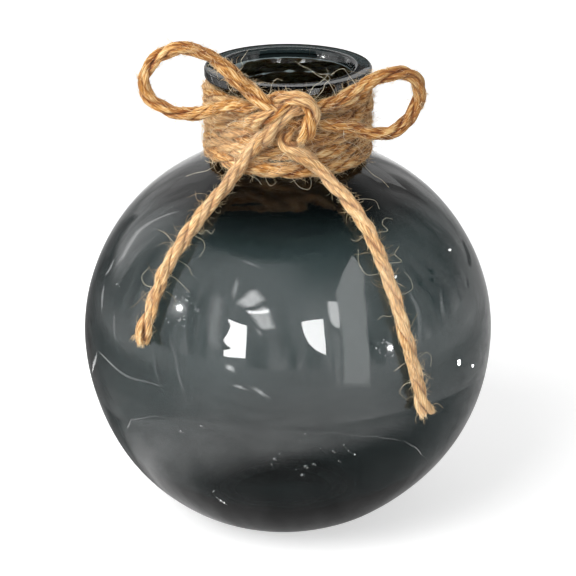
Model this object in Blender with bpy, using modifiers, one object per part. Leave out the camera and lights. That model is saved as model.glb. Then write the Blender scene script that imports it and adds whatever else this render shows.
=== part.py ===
"""Sphere vase of smoked glass, with jute twine wound round its neck and tied in a bow.

Metres, +Z up, front towards -Y. The origin is the middle of the base, on the surface it stands on.
The glass is one blown piece. The twine is one length in the hand, and each stretch of it that does
its own job is its own object: the winding, the two knot strands, the two loops and the two tails.
"""

import math

import bpy
from mathutils import Vector

# Glass body
BODY_R = 0.090
BODY_CENTRE_Z = 0.086
SHOULDER_H = 0.086
BODY_WALL = 0.003

# Glass foot
FOOT_R = 0.031
FOOT_EDGE_R = 0.006
PUSH_UP_R = 0.022
PUSH_UP_H = 0.0025
BASE_THICKNESS = 0.0045
FLOOR_CORNER_R = 0.010

# Glass neck and rim
NECK_R = 0.0300
NECK_WALL = 0.003
NECK_FILLET_R = 0.003
THROAT_FILLET_R = 0.004
TOTAL_H = 0.206
RIM_OVERHANG = 0.006
RIM_H = 0.0046
RIM_EDGE_R = 0.0011
RIM_ROOT_R = 0.0006
MOUTH_FLARE = 0.002
MOUTH_EDGE_R = 0.0015

# Twine
TWINE_D = 0.0058
CLEARANCE = 0.0003
KNOT_LIFT = 0.0009

# Winding
WINDING_PITCH = 0.0064
DESCENT_FROM_DEG = 190.0
DESCENT_TO_DEG = 260.0
WINDING_END_DEG = 180.0

# Thickness of a strand, as a share of the free twine's
FREE = 1.0
SQUEEZED = 0.83

# Facets
TURNED_STEPS = 64
ARC_STEP_DEG = 7.5
FILLET_STEP_DEG = 30.0
PUSH_UP_STEPS = 4
POINTS_PER_TURN = 24
SAMPLES_PER_SPAN = 12
FREE_POINT_SPACING = 0.0058
KNOT_POINT_SPACING = 0.0024
SQUARE_STEP = 0.2

BELLY_H = BODY_CENTRE_Z / math.sqrt(1 - (FOOT_R / BODY_R) ** 2)
BORE_R = NECK_R - NECK_WALL
MOUTH_R = BORE_R + MOUTH_FLARE
RIM_R = NECK_R + RIM_OVERHANG
RIM_Z = TOTAL_H - RIM_H
NECK_ROOT_Z = BODY_CENTRE_Z + SHOULDER_H * math.sqrt(1 - (NECK_R / BODY_R) ** 2)

TWINE_R = TWINE_D / 2
WINDING_R = NECK_R + CLEARANCE + TWINE_R
WINDING_LEVELS = 1 + int((RIM_Z - NECK_ROOT_Z - TWINE_D) / WINDING_PITCH)
KNOT_SEAT_R = max(WINDING_R + TWINE_R, RIM_R)
KNOT_Z = NECK_ROOT_Z + TWINE_R + (WINDING_LEVELS - 1) * WINDING_PITCH + KNOT_LIFT

# How far a strand's middle stands off what it lies on, in twine diameters
GAP = CLEARANCE / TWINE_D
LAID = FREE / 2 + GAP
UNDER = SQUEEZED / 2 + GAP
OVER = UNDER + SQUEEZED + GAP


def arc(radius_across, radius_up, from_deg, to_deg):
    """Points of an ellipse about the ball's centre, by elevation, between these two angles."""
    steps = max(2, round(abs(to_deg - from_deg) / ARC_STEP_DEG))
    angles = [math.radians(from_deg + (to_deg - from_deg) * i / steps) for i in range(1, steps)]
    return [(radius_across * math.cos(a), BODY_CENTRE_Z + radius_up * math.sin(a), 0.0) for a in angles]


def fillet(before, corner, after, radius):
    """Points of a round of this radius, which touches both lines that meet at the corner."""
    corner = Vector(corner)
    to_before = (Vector(before) - corner).normalized()
    to_after = (Vector(after) - corner).normalized()
    half_angle = to_before.angle(to_after) / 2
    centre = corner + (to_before + to_after).normalized() * radius / math.sin(half_angle)
    start = corner + to_before * radius / math.tan(half_angle) - centre
    end = corner + to_after * radius / math.tan(half_angle) - centre
    steps = max(2, round(math.degrees(math.pi - 2 * half_angle) / FILLET_STEP_DEG))
    return [tuple(centre + start.slerp(end, i / steps).normalized() * radius) for i in range(steps + 1)]


def elevation_at(radius, radius_across):
    """Elevation, in degrees, at which an ellipse of this half width is this far from the axis."""
    return math.degrees(math.acos(radius / radius_across))


def glass_outline():
    """Half section of the vase: up the inside from the middle of its floor, over the rim, and down.

    Each entry is a point's radius and height, and the radius of its round where it is a corner.
    """
    inner_r = BODY_R - BODY_WALL
    inner_shoulder_h = SHOULDER_H - BODY_WALL
    inner_belly_h = BELLY_H - BODY_WALL
    throat_z = BODY_CENTRE_Z + inner_shoulder_h * math.sqrt(1 - (BORE_R / inner_r) ** 2)
    floor_z = PUSH_UP_H + BASE_THICKNESS
    floor_deg = -math.degrees(math.asin((BODY_CENTRE_Z - floor_z) / inner_belly_h))
    inward = [i / PUSH_UP_STEPS for i in range(PUSH_UP_STEPS + 1)]
    return [
        (0.0, floor_z, 0.0),
        (inner_r * math.cos(math.radians(floor_deg)), floor_z, FLOOR_CORNER_R),
        *arc(inner_r, inner_belly_h, floor_deg, 0.0),
        (inner_r, BODY_CENTRE_Z, 0.0),
        *arc(inner_r, inner_shoulder_h, 0.0, elevation_at(BORE_R, inner_r)),
        (BORE_R, throat_z, THROAT_FILLET_R),
        (BORE_R, RIM_Z, 0.0),
        (MOUTH_R, TOTAL_H, MOUTH_EDGE_R),
        (RIM_R, TOTAL_H, RIM_EDGE_R),
        (RIM_R, RIM_Z, RIM_EDGE_R),
        (NECK_R, RIM_Z, RIM_ROOT_R),
        (NECK_R, NECK_ROOT_Z, NECK_FILLET_R),
        *arc(BODY_R, SHOULDER_H, elevation_at(NECK_R, BODY_R), 0.0),
        (BODY_R, BODY_CENTRE_Z, 0.0),
        *arc(BODY_R, BELLY_H, 0.0, -elevation_at(FOOT_R, BODY_R)),
        (FOOT_R, 0.0, FOOT_EDGE_R),
        *[(PUSH_UP_R * (1 - t), PUSH_UP_H * math.sin(math.pi / 2 * t), 0.0) for t in inward],
    ]


def rounded(outline):
    """Points of an outline, with the corners that have a round replaced by its arc."""
    points = []
    for i, (radius, height, round_r) in enumerate(outline):
        if round_r:
            points += fillet(outline[i - 1][:2], (radius, height), outline[i + 1][:2], round_r)
        else:
            points.append((radius, height))
    return points


def principled(name, colour, roughness, transmission=0.0):
    """A Principled material in this colour."""
    material = bpy.data.materials.new(name)
    material.use_nodes = True
    shader = material.node_tree.nodes["Principled BSDF"]
    shader.inputs["Base Color"].default_value = (*colour, 1.0)
    shader.inputs["Roughness"].default_value = roughness
    shader.inputs["Metallic"].default_value = 0.0
    shader.inputs["Transmission Weight"].default_value = transmission
    material.diffuse_color = (*colour, 1.0)
    return material


def turned(name, profile, material, collection, parent):
    """A solid turned about +Z from a half section at +X."""
    mesh = bpy.data.meshes.new(name)
    points = [(radius, 0.0, height) for radius, height in profile]
    mesh.from_pydata(points, [(i, i + 1) for i in range(len(points) - 1)], [])
    mesh.materials.append(material)
    obj = bpy.data.objects.new(name, mesh)
    collection.objects.link(obj)
    obj.parent = parent
    screw = obj.modifiers.new("Turn", "SCREW")
    screw.axis = "Z"
    screw.angle = math.tau
    screw.steps = TURNED_STEPS
    screw.render_steps = TURNED_STEPS
    screw.use_merge_vertices = True
    screw.merge_threshold = 0.00005
    screw.use_smooth_shade = True
    return obj


def strand(name, points, thickness, material, collection, parent, bevel_resolution):
    """A tube of twine along world points, with its origin at its first point.

    Its thickness at each point is a share of the free twine's.
    """
    origin = points[0]
    curve = bpy.data.curves.new(name, "CURVE")
    curve.dimensions = "3D"
    curve.bevel_depth = TWINE_R
    curve.bevel_resolution = bevel_resolution
    curve.use_fill_caps = True
    spline = curve.splines.new("POLY")
    spline.points.add(len(points) - 1)
    for spot, point, share in zip(spline.points, points, thickness):
        spot.co = (*(point - origin), 1.0)
        spot.radius = share
    spline.use_smooth = True
    curve.materials.append(material)
    obj = bpy.data.objects.new(name, curve)
    collection.objects.link(obj)
    obj.parent = parent
    obj.location = origin
    return obj


def smooth_through(route, before, after):
    """Points, with the thickness at each, of a centripetal Catmull-Rom curve through the route.

    The points lie closer where the knot squeezes the strand. The neighbouring stretches, where there
    are any, set the direction of the ends that they share, and a short last step keeps each end face
    square to the curve.
    """
    points = [point for point, share in route]
    shares = [share for point, share in route]
    first = before[-2][0] if before else 2 * points[0] - points[1]
    last = after[1][0] if after else 2 * points[-1] - points[-2]
    points = [first] + points + [last]
    fine = []
    for i in range(1, len(points) - 2):
        p0, p1, p2, p3 = points[i - 1 : i + 3]
        t1 = math.sqrt((p1 - p0).length)
        t2 = t1 + math.sqrt((p2 - p1).length)
        t3 = t2 + math.sqrt((p3 - p2).length)
        for j in range(SAMPLES_PER_SPAN):
            way = j / SAMPLES_PER_SPAN
            t = t1 + (t2 - t1) * way
            a1 = p0.lerp(p1, t / t1)
            a2 = p1.lerp(p2, (t - t1) / (t2 - t1))
            a3 = p2.lerp(p3, (t - t2) / (t3 - t2))
            b1 = a1.lerp(a2, t / t2)
            b2 = a2.lerp(a3, (t - t1) / (t3 - t1))
            share = shares[i - 1] + (shares[i] - shares[i - 1]) * way
            fine.append((b1.lerp(b2, (t - t1) / (t2 - t1)), share))
    fine.append((points[-2], shares[-1]))

    steps = [0.0]
    for (a, share), (b, _) in zip(fine, fine[1:]):
        freedom = (share - SQUEEZED) / (FREE - SQUEEZED)
        spacing = KNOT_POINT_SPACING + (FREE_POINT_SPACING - KNOT_POINT_SPACING) * freedom
        steps.append(steps[-1] + (b - a).length / spacing)
    seat = CLEARANCE / 2 / KNOT_POINT_SPACING
    start = seat if before else 0.0
    end = steps[-1] - (seat if after else 0.0)
    count = max(2, round(end - start))
    stops = [start + (end - start) * i / count for i in range(count + 1)]
    stops = [start, start + SQUARE_STEP] + stops[1:-1] + [end - SQUARE_STEP, end]
    even_points = []
    thickness = []
    k = 0
    for stop in stops:
        while k < len(steps) - 2 and steps[k + 1] < stop:
            k += 1
        way = (stop - steps[k]) / (steps[k + 1] - steps[k])
        even_points.append(fine[k][0].lerp(fine[k + 1][0], way))
        thickness.append(fine[k][1] + (fine[k + 1][1] - fine[k][1]) * way)
    return even_points, thickness


def on_winding(across, up, lift):
    """Point over the winding's face, in twine diameters right of the front, above the knot and out."""
    x = across * TWINE_D
    radius = KNOT_SEAT_R + lift * TWINE_D
    return Vector((x, -math.sqrt(radius**2 - x**2), KNOT_Z + up * TWINE_D))


def off_winding(across, out, up):
    """Point in the air beside the knot, in twine diameters right of it, out from the face, and above."""
    return Vector((across * TWINE_D, -(KNOT_SEAT_R + out * TWINE_D), KNOT_Z + up * TWINE_D))


def on_body(azimuth, latitude, stand_off=0.0):
    """Point of a strand laid on the ball, by degrees round from the front and up from its waist."""
    a = math.radians(azimuth)
    b = math.radians(latitude)
    height = SHOULDER_H if latitude > 0 else BELLY_H
    lift = (LAID + stand_off) * TWINE_D
    across = (BODY_R + lift) * math.cos(b)
    up = (height + lift) * math.sin(b)
    return Vector((across * math.sin(a), -across * math.cos(a), BODY_CENTRE_Z + up))


def winding_points():
    """The winding: from under the knot round level turns, which each drop a pitch at the back left."""
    end = math.tau * (WINDING_LEVELS - 1) + math.radians(WINDING_END_DEG)
    descent_from = math.radians(DESCENT_FROM_DEG)
    descent = math.radians(DESCENT_TO_DEG) - descent_from
    count = round(end / math.tau * POINTS_PER_TURN)
    points = []
    for i in range(count + 1):
        angle = end * i / count
        turn = math.floor(angle / math.tau)
        share = min(max((angle - turn * math.tau - descent_from) / descent, 0.0), 1.0)
        level = WINDING_LEVELS - 1 - turn - (0.5 - 0.5 * math.cos(math.pi * share))
        height = NECK_ROOT_Z + TWINE_R + WINDING_PITCH * level
        points.append(Vector((WINDING_R * math.sin(angle), -WINDING_R * math.cos(angle), height)))
    first = points[0] - (points[1] - points[0]).normalized() * TWINE_D
    last = points[-1] + (points[-1] - points[-2]).normalized() * TWINE_D
    return [first] + points + [last]


def least_self_gap(points):
    """Least clear gap between stretches of the winding more than half a turn apart."""
    apart = POINTS_PER_TURN // 2
    least = min(
        (points[j] - points[i]).length for i in range(len(points)) for j in range(i + apart, len(points))
    )
    return least - TWINE_D


for old in list(bpy.data.objects):
    bpy.data.objects.remove(old, do_unlink=True)

collection = bpy.data.collections.new("sphere_vase")
bpy.context.scene.collection.children.link(collection)

vase = bpy.data.objects.new("vase_origin", None)
collection.objects.link(vase)

smoked_glass = principled("smoked_glass", (0.055, 0.066, 0.066), 0.03, transmission=0.9)
jute = principled("jute", (0.61, 0.36, 0.15), 0.9)
jute_winding = principled("jute_winding", (0.52, 0.30, 0.12), 0.9)
jute_knot = principled("jute_knot", (0.68, 0.43, 0.20), 0.9)

turned("glass_vase", rounded(glass_outline()), smoked_glass, collection, vase)

winding = winding_points()
strand("neck_winding", winding, [FREE] * len(winding), jute_winding, collection, vase, 1)
print(f"least gap of the winding to itself: {1000 * least_self_gap(winding):.2f} mm")

# Loops: from the leg that lies over in the knot, out and round, to the leg that lies under
LEFT_LOOP = [
    (on_winding(-0.90, 0.17, 1.41), SQUEEZED),
    (on_winding(-1.52, 0.69, 1.52), SQUEEZED),
    (on_winding(-2.12, 1.21, 1.48), SQUEEZED),
    (on_winding(-2.69, 1.66, OVER), FREE),
    (off_winding(-3.45, 1.03, 2.34), FREE),
    (off_winding(-4.22, 0.76, 3.07), FREE),
    (off_winding(-5.05, 0.41, 3.72), FREE),
    (off_winding(-5.98, 0.03, 4.17), FREE),
    (off_winding(-6.98, -0.31, 4.40), FREE),
    (off_winding(-7.91, -0.62, 4.34), FREE),
    (off_winding(-8.79, -0.90, 3.97), FREE),
    (off_winding(-9.57, -1.14, 3.33), FREE),
    (off_winding(-10.14, -1.31, 2.50), FREE),
    (off_winding(-10.38, -1.41, 1.64), FREE),
    (off_winding(-10.29, -1.45, 0.90), FREE),
    (off_winding(-9.83, -1.41, 0.28), FREE),
    (off_winding(-9.07, -1.31, -0.21), FREE),
    (off_winding(-8.16, -1.17, -0.52), FREE),
    (off_winding(-7.24, -1.05, -0.64), FREE),
    (off_winding(-6.41, -0.97, -0.55), FREE),
    (off_winding(-5.69, -0.86, -0.33), FREE),
    (off_winding(-4.97, -0.76, -0.07), FREE),
    (off_winding(-4.19, -0.59, 0.12), FREE),
    (on_winding(-3.38, 0.17, LAID), FREE),
    (on_winding(-2.55, 0.17, UNDER), SQUEEZED),
]
RIGHT_LOOP = [
    (on_winding(2.07, 0.22, UNDER), SQUEEZED),
    (on_winding(2.67, 0.31, UNDER), FREE),
    (off_winding(3.38, 0.10, 0.62), FREE),
    (off_winding(4.28, 0.0, 1.07), FREE),
    (off_winding(5.21, -0.07, 1.64), FREE),
    (off_winding(6.12, -0.14, 2.14), FREE),
    (off_winding(7.05, -0.24, 2.48), FREE),
    (off_winding(7.93, -0.41, 2.60), FREE),
    (off_winding(8.71, -0.62, 2.43), FREE),
    (off_winding(9.24, -0.79, 1.90), FREE),
    (off_winding(9.43, -0.93, 1.12), FREE),
    (off_winding(9.28, -0.97, 0.17), FREE),
    (off_winding(8.84, -0.97, -0.71), FREE),
    (off_winding(8.24, -0.93, -1.45), FREE),
    (off_winding(7.48, -0.86, -1.91), FREE),
    (off_winding(6.62, -0.79, -2.07), FREE),
    (off_winding(5.76, -0.69, -1.90), FREE),
    (off_winding(4.90, -0.55, -1.59), FREE),
    (off_winding(4.02, -0.34, -1.36), FREE),
    (on_winding(3.14, -1.19, LAID), FREE),
    (on_winding(2.07, -0.91, UNDER), SQUEEZED),
]

# Knot: the strand that arches over the loops' legs, and the one that turns down under it
KNOT_OVER = [
    LEFT_LOOP[-1],
    (on_winding(-1.90, 0.36, UNDER), SQUEEZED),
    (on_winding(-1.28, 0.69, UNDER), SQUEEZED),
    (on_winding(-0.64, 1.03, 0.69), SQUEEZED),
    (on_winding(0.14, 1.21, 1.07), SQUEEZED),
    (on_winding(0.86, 1.12, 1.34), SQUEEZED),
    (on_winding(1.45, 0.76, 1.48), SQUEEZED),
    (on_winding(1.69, 0.17, 1.50), SQUEEZED),
    (on_winding(1.62, -0.62, 1.45), SQUEEZED),
    (on_winding(1.38, -1.38, 1.17), SQUEEZED),
    (on_winding(1.03, -1.83, 0.72), SQUEEZED),
]
KNOT_UNDER = [
    RIGHT_LOOP[-1],
    (on_winding(1.43, -0.74, UNDER), SQUEEZED),
    (on_winding(0.86, -0.72, UNDER), SQUEEZED),
    (on_winding(0.41, -0.95, UNDER), SQUEEZED),
    (on_winding(0.12, -1.31, UNDER), SQUEEZED),
]

# Tails: out of the knot, over the edge of the winding, and down the glass
LEFT_TAIL = [
    RIGHT_LOOP[0],
    (on_winding(1.47, 0.24, UNDER), SQUEEZED),
    (on_winding(0.91, 0.29, 0.62), SQUEEZED),
    (on_winding(0.41, 0.29, 1.03), SQUEEZED),
    (on_winding(-0.07, 0.10, OVER), SQUEEZED),
    (on_winding(-0.69, -0.53, OVER), SQUEEZED),
    (on_winding(-1.33, -1.41, 1.10), FREE),
    (on_winding(-1.95, -2.21, 0.74), FREE),
    (on_winding(-2.59, -3.02, LAID), FREE),
    (on_winding(-3.24, -4.00, 0.59), FREE),
    (on_winding(-3.76, -4.72, 0.83), FREE),
    (on_winding(-4.29, -5.38, 1.38), FREE),
    (on_body(-35.2, 56.8), FREE),
    (on_body(-36.9, 49.7), FREE),
    (on_body(-38.5, 43.7), FREE),
    (on_body(-39.6, 37.2), FREE),
    (on_body(-40.8, 31.0), FREE),
    (on_body(-40.9, 26.2), FREE),
    (on_body(-40.9, 21.4), FREE),
    (on_body(-41.6, 17.3), FREE),
    (on_body(-42.6, 12.6), FREE),
]
RIGHT_TAIL = [
    KNOT_UNDER[-1],
    (on_winding(-0.16, -1.69, UNDER), SQUEEZED),
    (on_winding(-0.29, -2.09, UNDER), SQUEEZED),
    (on_winding(-0.17, -2.47, 0.50), SQUEEZED),
    (on_winding(0.22, -2.76, 0.53), FREE),
    (on_winding(0.74, -3.07, LAID), FREE),
    (on_winding(1.36, -3.55, LAID), FREE),
    (on_winding(1.98, -4.09, 0.64), FREE),
    (on_winding(2.52, -4.60, 0.91), FREE),
    (on_winding(3.09, -5.12, 1.50), FREE),
    (on_body(27.6, 58.6), FREE),
    (on_body(29.9, 51.6), FREE),
    (on_body(30.9, 44.9), FREE),
    (on_body(31.3, 36.1), FREE),
    (on_body(31.7, 30.5), FREE),
    (on_body(32.1, 24.4), FREE),
    (on_body(32.6, 18.2), FREE),
    (on_body(33.7, 11.5), FREE),
    (on_body(35.0, 4.6), FREE),
    (on_body(36.6, -2.1, 0.03), FREE),
    (on_body(37.8, -5.9, 0.10), FREE),
]

LEFT_TAIL_REVERSED = LEFT_TAIL[::-1]
RIGHT_LOOP_REVERSED = RIGHT_LOOP[::-1]
STRETCHES = [
    ("bow_loop_left", LEFT_LOOP, None, KNOT_OVER, jute),
    ("bow_loop_right", RIGHT_LOOP, LEFT_TAIL_REVERSED, KNOT_UNDER, jute),
    ("bow_knot_over", KNOT_OVER, LEFT_LOOP, None, jute_knot),
    ("bow_knot_under", KNOT_UNDER, RIGHT_LOOP, RIGHT_TAIL, jute_winding),
    ("bow_tail_left", LEFT_TAIL, RIGHT_LOOP_REVERSED, None, jute_knot),
    ("bow_tail_right", RIGHT_TAIL, KNOT_UNDER, None, jute),
]
for name, route, before, after, material in STRETCHES:
    points, thickness = smooth_through(route, before, after)
    strand(name, points, thickness, material, collection, vase, 3)
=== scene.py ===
"""Looks of the sphere vase: smoked blown glass, and jute twine of three strands tied in a bow."""

import math

import bpy
import numpy as np
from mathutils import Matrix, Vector


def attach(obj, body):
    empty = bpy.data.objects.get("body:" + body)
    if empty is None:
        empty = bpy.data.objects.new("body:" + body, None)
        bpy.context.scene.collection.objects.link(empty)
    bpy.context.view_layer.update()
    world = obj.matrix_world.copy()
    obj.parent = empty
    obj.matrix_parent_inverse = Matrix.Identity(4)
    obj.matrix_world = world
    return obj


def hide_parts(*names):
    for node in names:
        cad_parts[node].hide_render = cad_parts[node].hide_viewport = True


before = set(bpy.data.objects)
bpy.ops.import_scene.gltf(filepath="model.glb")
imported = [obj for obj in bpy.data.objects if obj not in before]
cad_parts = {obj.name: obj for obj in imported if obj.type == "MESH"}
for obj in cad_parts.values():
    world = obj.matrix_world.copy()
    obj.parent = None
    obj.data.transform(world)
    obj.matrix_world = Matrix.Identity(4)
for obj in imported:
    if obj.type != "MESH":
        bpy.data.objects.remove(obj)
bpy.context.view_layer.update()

# Camera, as in the photograph
CAMERA_AT = (0.0, -1.0059, 0.4792)
CAMERA_DOWN_DEG = 20.453
CAMERA_LENS = 151.72
FRAME_MIDDLE = 288.0

camera_data = bpy.data.cameras.new("photo_camera")
camera_data.sensor_width = 36.0
camera_data.lens = CAMERA_LENS
camera_data.clip_start = 0.02
camera_data.clip_end = 40.0
camera = bpy.data.objects.new("photo_camera", camera_data)
bpy.context.scene.collection.objects.link(camera)
camera.location = CAMERA_AT
camera.rotation_euler = (math.radians(90.0 - CAMERA_DOWN_DEG), 0.0, 0.0)
bpy.context.scene.camera = camera
bpy.context.scene.view_settings.view_transform = "Standard"

# Glass body
BODY_R = 0.090
BODY_CENTRE_Z = 0.086
SHOULDER_H = 0.086
BODY_WALL = 0.003

# Glass foot
FOOT_R = 0.031
FOOT_EDGE_R = 0.006
PUSH_UP_R = 0.022
PUSH_UP_H = 0.0025

# Glass neck and rim
NECK_R = 0.0300
NECK_WALL = 0.003
NECK_FILLET_R = 0.003
TOTAL_H = 0.206
RIM_OVERHANG = 0.006
RIM_H = 0.0046
RIM_EDGE_R = 0.0011
RIM_ROOT_R = 0.0006
MOUTH_FLARE = 0.002
MOUTH_EDGE_R = 0.0015

# Wall of the blown glass, by elevation from the ball's centre
NECK_ROOT_WALL = 0.0082
NECK_ROOT_FROM_DEG = 40.0
NECK_ROOT_TO_DEG = 66.0
BASE_WALL = 0.0050
BASE_FROM_DEG = -28.0
BASE_TO_DEG = -62.0
BASE_THICKNESS = 0.0050
FLOOR_CORNER_R = 0.015
THROAT_FILLET_R = 0.008

# Twine
TWINE_D = 0.0058
CLEARANCE = 0.0003
KNOT_LIFT = 0.0009

# Winding
WINDING_PITCH = 0.0064
DESCENT_FROM_DEG = 190.0
DESCENT_TO_DEG = 260.0
WINDING_END_DEG = 180.0

# Thickness of a strand, as a share of the free twine's
FREE = 1.0
SQUEEZED = 0.83

BELLY_H = BODY_CENTRE_Z / math.sqrt(1 - (FOOT_R / BODY_R) ** 2)
BORE_R = NECK_R - NECK_WALL
MOUTH_R = BORE_R + MOUTH_FLARE
RIM_R = NECK_R + RIM_OVERHANG
RIM_Z = TOTAL_H - RIM_H
NECK_ROOT_Z = BODY_CENTRE_Z + SHOULDER_H * math.sqrt(1 - (NECK_R / BODY_R) ** 2)

TWINE_R = TWINE_D / 2
WINDING_R = NECK_R + CLEARANCE + TWINE_R
WINDING_LEVELS = 1 + int((RIM_Z - NECK_ROOT_Z - TWINE_D) / WINDING_PITCH)
KNOT_SEAT_R = max(WINDING_R + TWINE_R, RIM_R)
KNOT_Z = NECK_ROOT_Z + TWINE_R + (WINDING_LEVELS - 1) * WINDING_PITCH + KNOT_LIFT

# How far a strand's middle stands off what it lies on, in twine diameters
GAP = CLEARANCE / TWINE_D
LAID = FREE / 2 + GAP
UNDER = SQUEEZED / 2 + GAP
OVER = UNDER + SQUEEZED + GAP


def on_winding(across, up, lift):
    """Point over the winding's face, in twine diameters right of the front, above the knot and out."""
    x = across * TWINE_D
    radius = KNOT_SEAT_R + lift * TWINE_D
    return Vector((x, -math.sqrt(radius**2 - x**2), KNOT_Z + up * TWINE_D))


def off_winding(across, out, up):
    """Point in the air beside the knot, in twine diameters right of it, out from the face, and above."""
    return Vector((across * TWINE_D, -(KNOT_SEAT_R + out * TWINE_D), KNOT_Z + up * TWINE_D))


def on_body(azimuth, latitude, stand_off=0.0):
    """Point of a strand laid on the ball, by degrees round from the front and up from its waist."""
    a = math.radians(azimuth)
    b = math.radians(latitude)
    height = SHOULDER_H if latitude > 0 else BELLY_H
    lift = (LAID + stand_off) * TWINE_D
    across = (BODY_R + lift) * math.cos(b)
    up = (height + lift) * math.sin(b)
    return Vector((across * math.sin(a), -across * math.cos(a), BODY_CENTRE_Z + up))


def laid(place, share, *rows):
    """Stretch of a route with one thickness share, each row a point's measures."""
    return [(place(*row), share) for row in rows]


# Loops: from the leg that lies over in the knot, out and round, to the leg that lies under
LEFT_LOOP = (
    laid(on_winding, SQUEEZED, (-0.90, 0.17, 1.41), (-1.52, 0.69, 1.52), (-2.12, 1.21, 1.48))
    + laid(on_winding, FREE, (-2.69, 1.66, OVER))
    + laid(off_winding, FREE, (-3.45, 1.03, 2.34), (-4.22, 0.76, 3.07), (-5.05, 0.41, 3.72),
           (-5.98, 0.03, 4.17), (-6.98, -0.31, 4.40), (-7.91, -0.62, 4.34), (-8.79, -0.90, 3.97),
           (-9.57, -1.14, 3.33), (-10.14, -1.31, 2.50), (-10.38, -1.41, 1.64), (-10.29, -1.45, 0.90),
           (-9.83, -1.41, 0.28), (-9.07, -1.31, -0.21), (-8.16, -1.17, -0.52), (-7.24, -1.05, -0.64),
           (-6.41, -0.97, -0.55), (-5.69, -0.86, -0.33), (-4.97, -0.76, -0.07), (-4.19, -0.59, 0.12))
    + laid(on_winding, FREE, (-3.38, 0.17, LAID))
    + laid(on_winding, SQUEEZED, (-2.55, 0.17, UNDER))
)
RIGHT_LOOP = (
    laid(on_winding, SQUEEZED, (2.07, 0.22, UNDER))
    + laid(on_winding, FREE, (2.67, 0.31, UNDER))
    + laid(off_winding, FREE, (3.38, 0.10, 0.62), (4.28, 0.0, 1.07), (5.21, -0.07, 1.64),
           (6.12, -0.14, 2.14), (7.05, -0.24, 2.48), (7.93, -0.41, 2.60), (8.71, -0.62, 2.43),
           (9.24, -0.79, 1.90), (9.43, -0.93, 1.12), (9.28, -0.97, 0.17), (8.84, -0.97, -0.71),
           (8.24, -0.93, -1.45), (7.48, -0.86, -1.91), (6.62, -0.79, -2.07), (5.76, -0.69, -1.90),
           (4.90, -0.55, -1.59), (4.02, -0.34, -1.36))
    + laid(on_winding, FREE, (3.14, -1.19, LAID))
    + laid(on_winding, SQUEEZED, (2.07, -0.91, UNDER))
)

# Knot: the strand that arches over the loops' legs, and the one that turns down under it
KNOT_OVER = (
    [LEFT_LOOP[-1]]
    + laid(on_winding, SQUEEZED, (-1.90, 0.36, UNDER), (-1.28, 0.69, UNDER), (-0.64, 1.03, 0.69),
           (0.14, 1.21, 1.07), (0.86, 1.12, 1.34), (1.45, 0.76, 1.48), (1.69, 0.17, 1.50),
           (1.62, -0.62, 1.45), (1.38, -1.38, 1.17), (1.03, -1.83, 0.72))
)
KNOT_UNDER = (
    [RIGHT_LOOP[-1]]
    + laid(on_winding, SQUEEZED, (1.43, -0.74, UNDER), (0.86, -0.72, UNDER), (0.41, -0.95, UNDER),
           (0.12, -1.31, UNDER))
)

# Tails: out of the knot, over the edge of the winding, and down the glass
LEFT_TAIL = (
    [RIGHT_LOOP[0]]
    + laid(on_winding, SQUEEZED, (1.47, 0.24, UNDER), (0.91, 0.29, 0.62), (0.41, 0.29, 1.03),
           (-0.07, 0.10, OVER), (-0.69, -0.53, OVER))
    + laid(on_winding, FREE, (-1.33, -1.41, 1.10), (-1.95, -2.21, 0.74), (-2.59, -3.02, LAID),
           (-3.24, -4.00, 0.59), (-3.76, -4.72, 0.83), (-4.29, -5.38, 1.38))
    + laid(on_body, FREE, (-35.2, 56.8), (-36.9, 49.7), (-38.5, 43.7), (-39.6, 37.2), (-40.8, 31.0),
           (-40.9, 26.2), (-40.9, 21.4), (-41.6, 17.3), (-42.6, 12.6))
)
RIGHT_TAIL = (
    [KNOT_UNDER[-1]]
    + laid(on_winding, SQUEEZED, (-0.16, -1.69, UNDER), (-0.29, -2.09, UNDER), (-0.17, -2.47, 0.50))
    + laid(on_winding, FREE, (0.22, -2.76, 0.53), (0.74, -3.07, LAID), (1.36, -3.55, LAID),
           (1.98, -4.09, 0.64), (2.52, -4.60, 0.91), (3.09, -5.12, 1.50))
    + laid(on_body, FREE, (27.6, 58.6), (29.9, 51.6), (30.9, 44.9), (31.3, 36.1), (31.7, 30.5),
           (32.1, 24.4), (32.6, 18.2), (33.7, 11.5), (35.0, 4.6), (36.6, -2.1, 0.03), (37.8, -5.9, 0.10))
)

# Plies of the twine, and the fibres that run round each one
PLIES = 3
LAY_LENGTH = 0.031
PLY_OFFSET = 0.52
PLY_RADIAL = 0.50
PLY_ACROSS = 0.57
PLY_SIDES = 24
PLY_TIP = 0.0006
FIBRE_LAY_LENGTH = 0.016

# Unevenness of the plies: the length of each change along the twine, and how far it goes
WANDER_LENGTH = 0.013
WANDER_TURN = 0.9
WANDER_OFFSET = 0.16
SWELL_LENGTH = 0.009
PLY_SWELL = 0.22
TONE_LENGTH = 0.02
PLY_TONES = 0.9

# Ridges of fibre on a ply: how many round it, their length and their depth
RIDGES = ((7.0, 0.0065, 0.36), (13.0, 0.0040, 0.26))

# The plies' shading: shift of each ply in the pattern, and pattern units to a metre
UV_SHIFT = 3.7
UV_PER_METRE = 100.0

# Lines of the twine
STATION = 0.0009
SAMPLES_PER_SPAN = 12

# Winding, with its turns thinner and further apart at the back
WINDING_STATIONS_PER_TURN = 240
WINDING_START_DEG = -112.0
WINDING_FULLNESS = 1.04
WINDING_STAND_OFF = 0.0004
WINDING_BACK_THINNER = 0.13
WINDING_BACK_SPREAD = 0.0016
WINDING_BACK_FROM = 0.55
WINDING_BACK_EASE = 0.3
WINDING_STRETCH = (1.0, 1.0, 1.18)
WINDING_SAG = 0.0005
WINDING_WAVE = 0.0011
WINDING_BULGE = 0.0007

# Turns that rise or dip near the front: turns above the lowest one, radians left, width, and lift
WINDING_LIFTS = ((0, 0.10, 0.16, -0.0004), (1, 0.08, 0.15, 0.0007))


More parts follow.
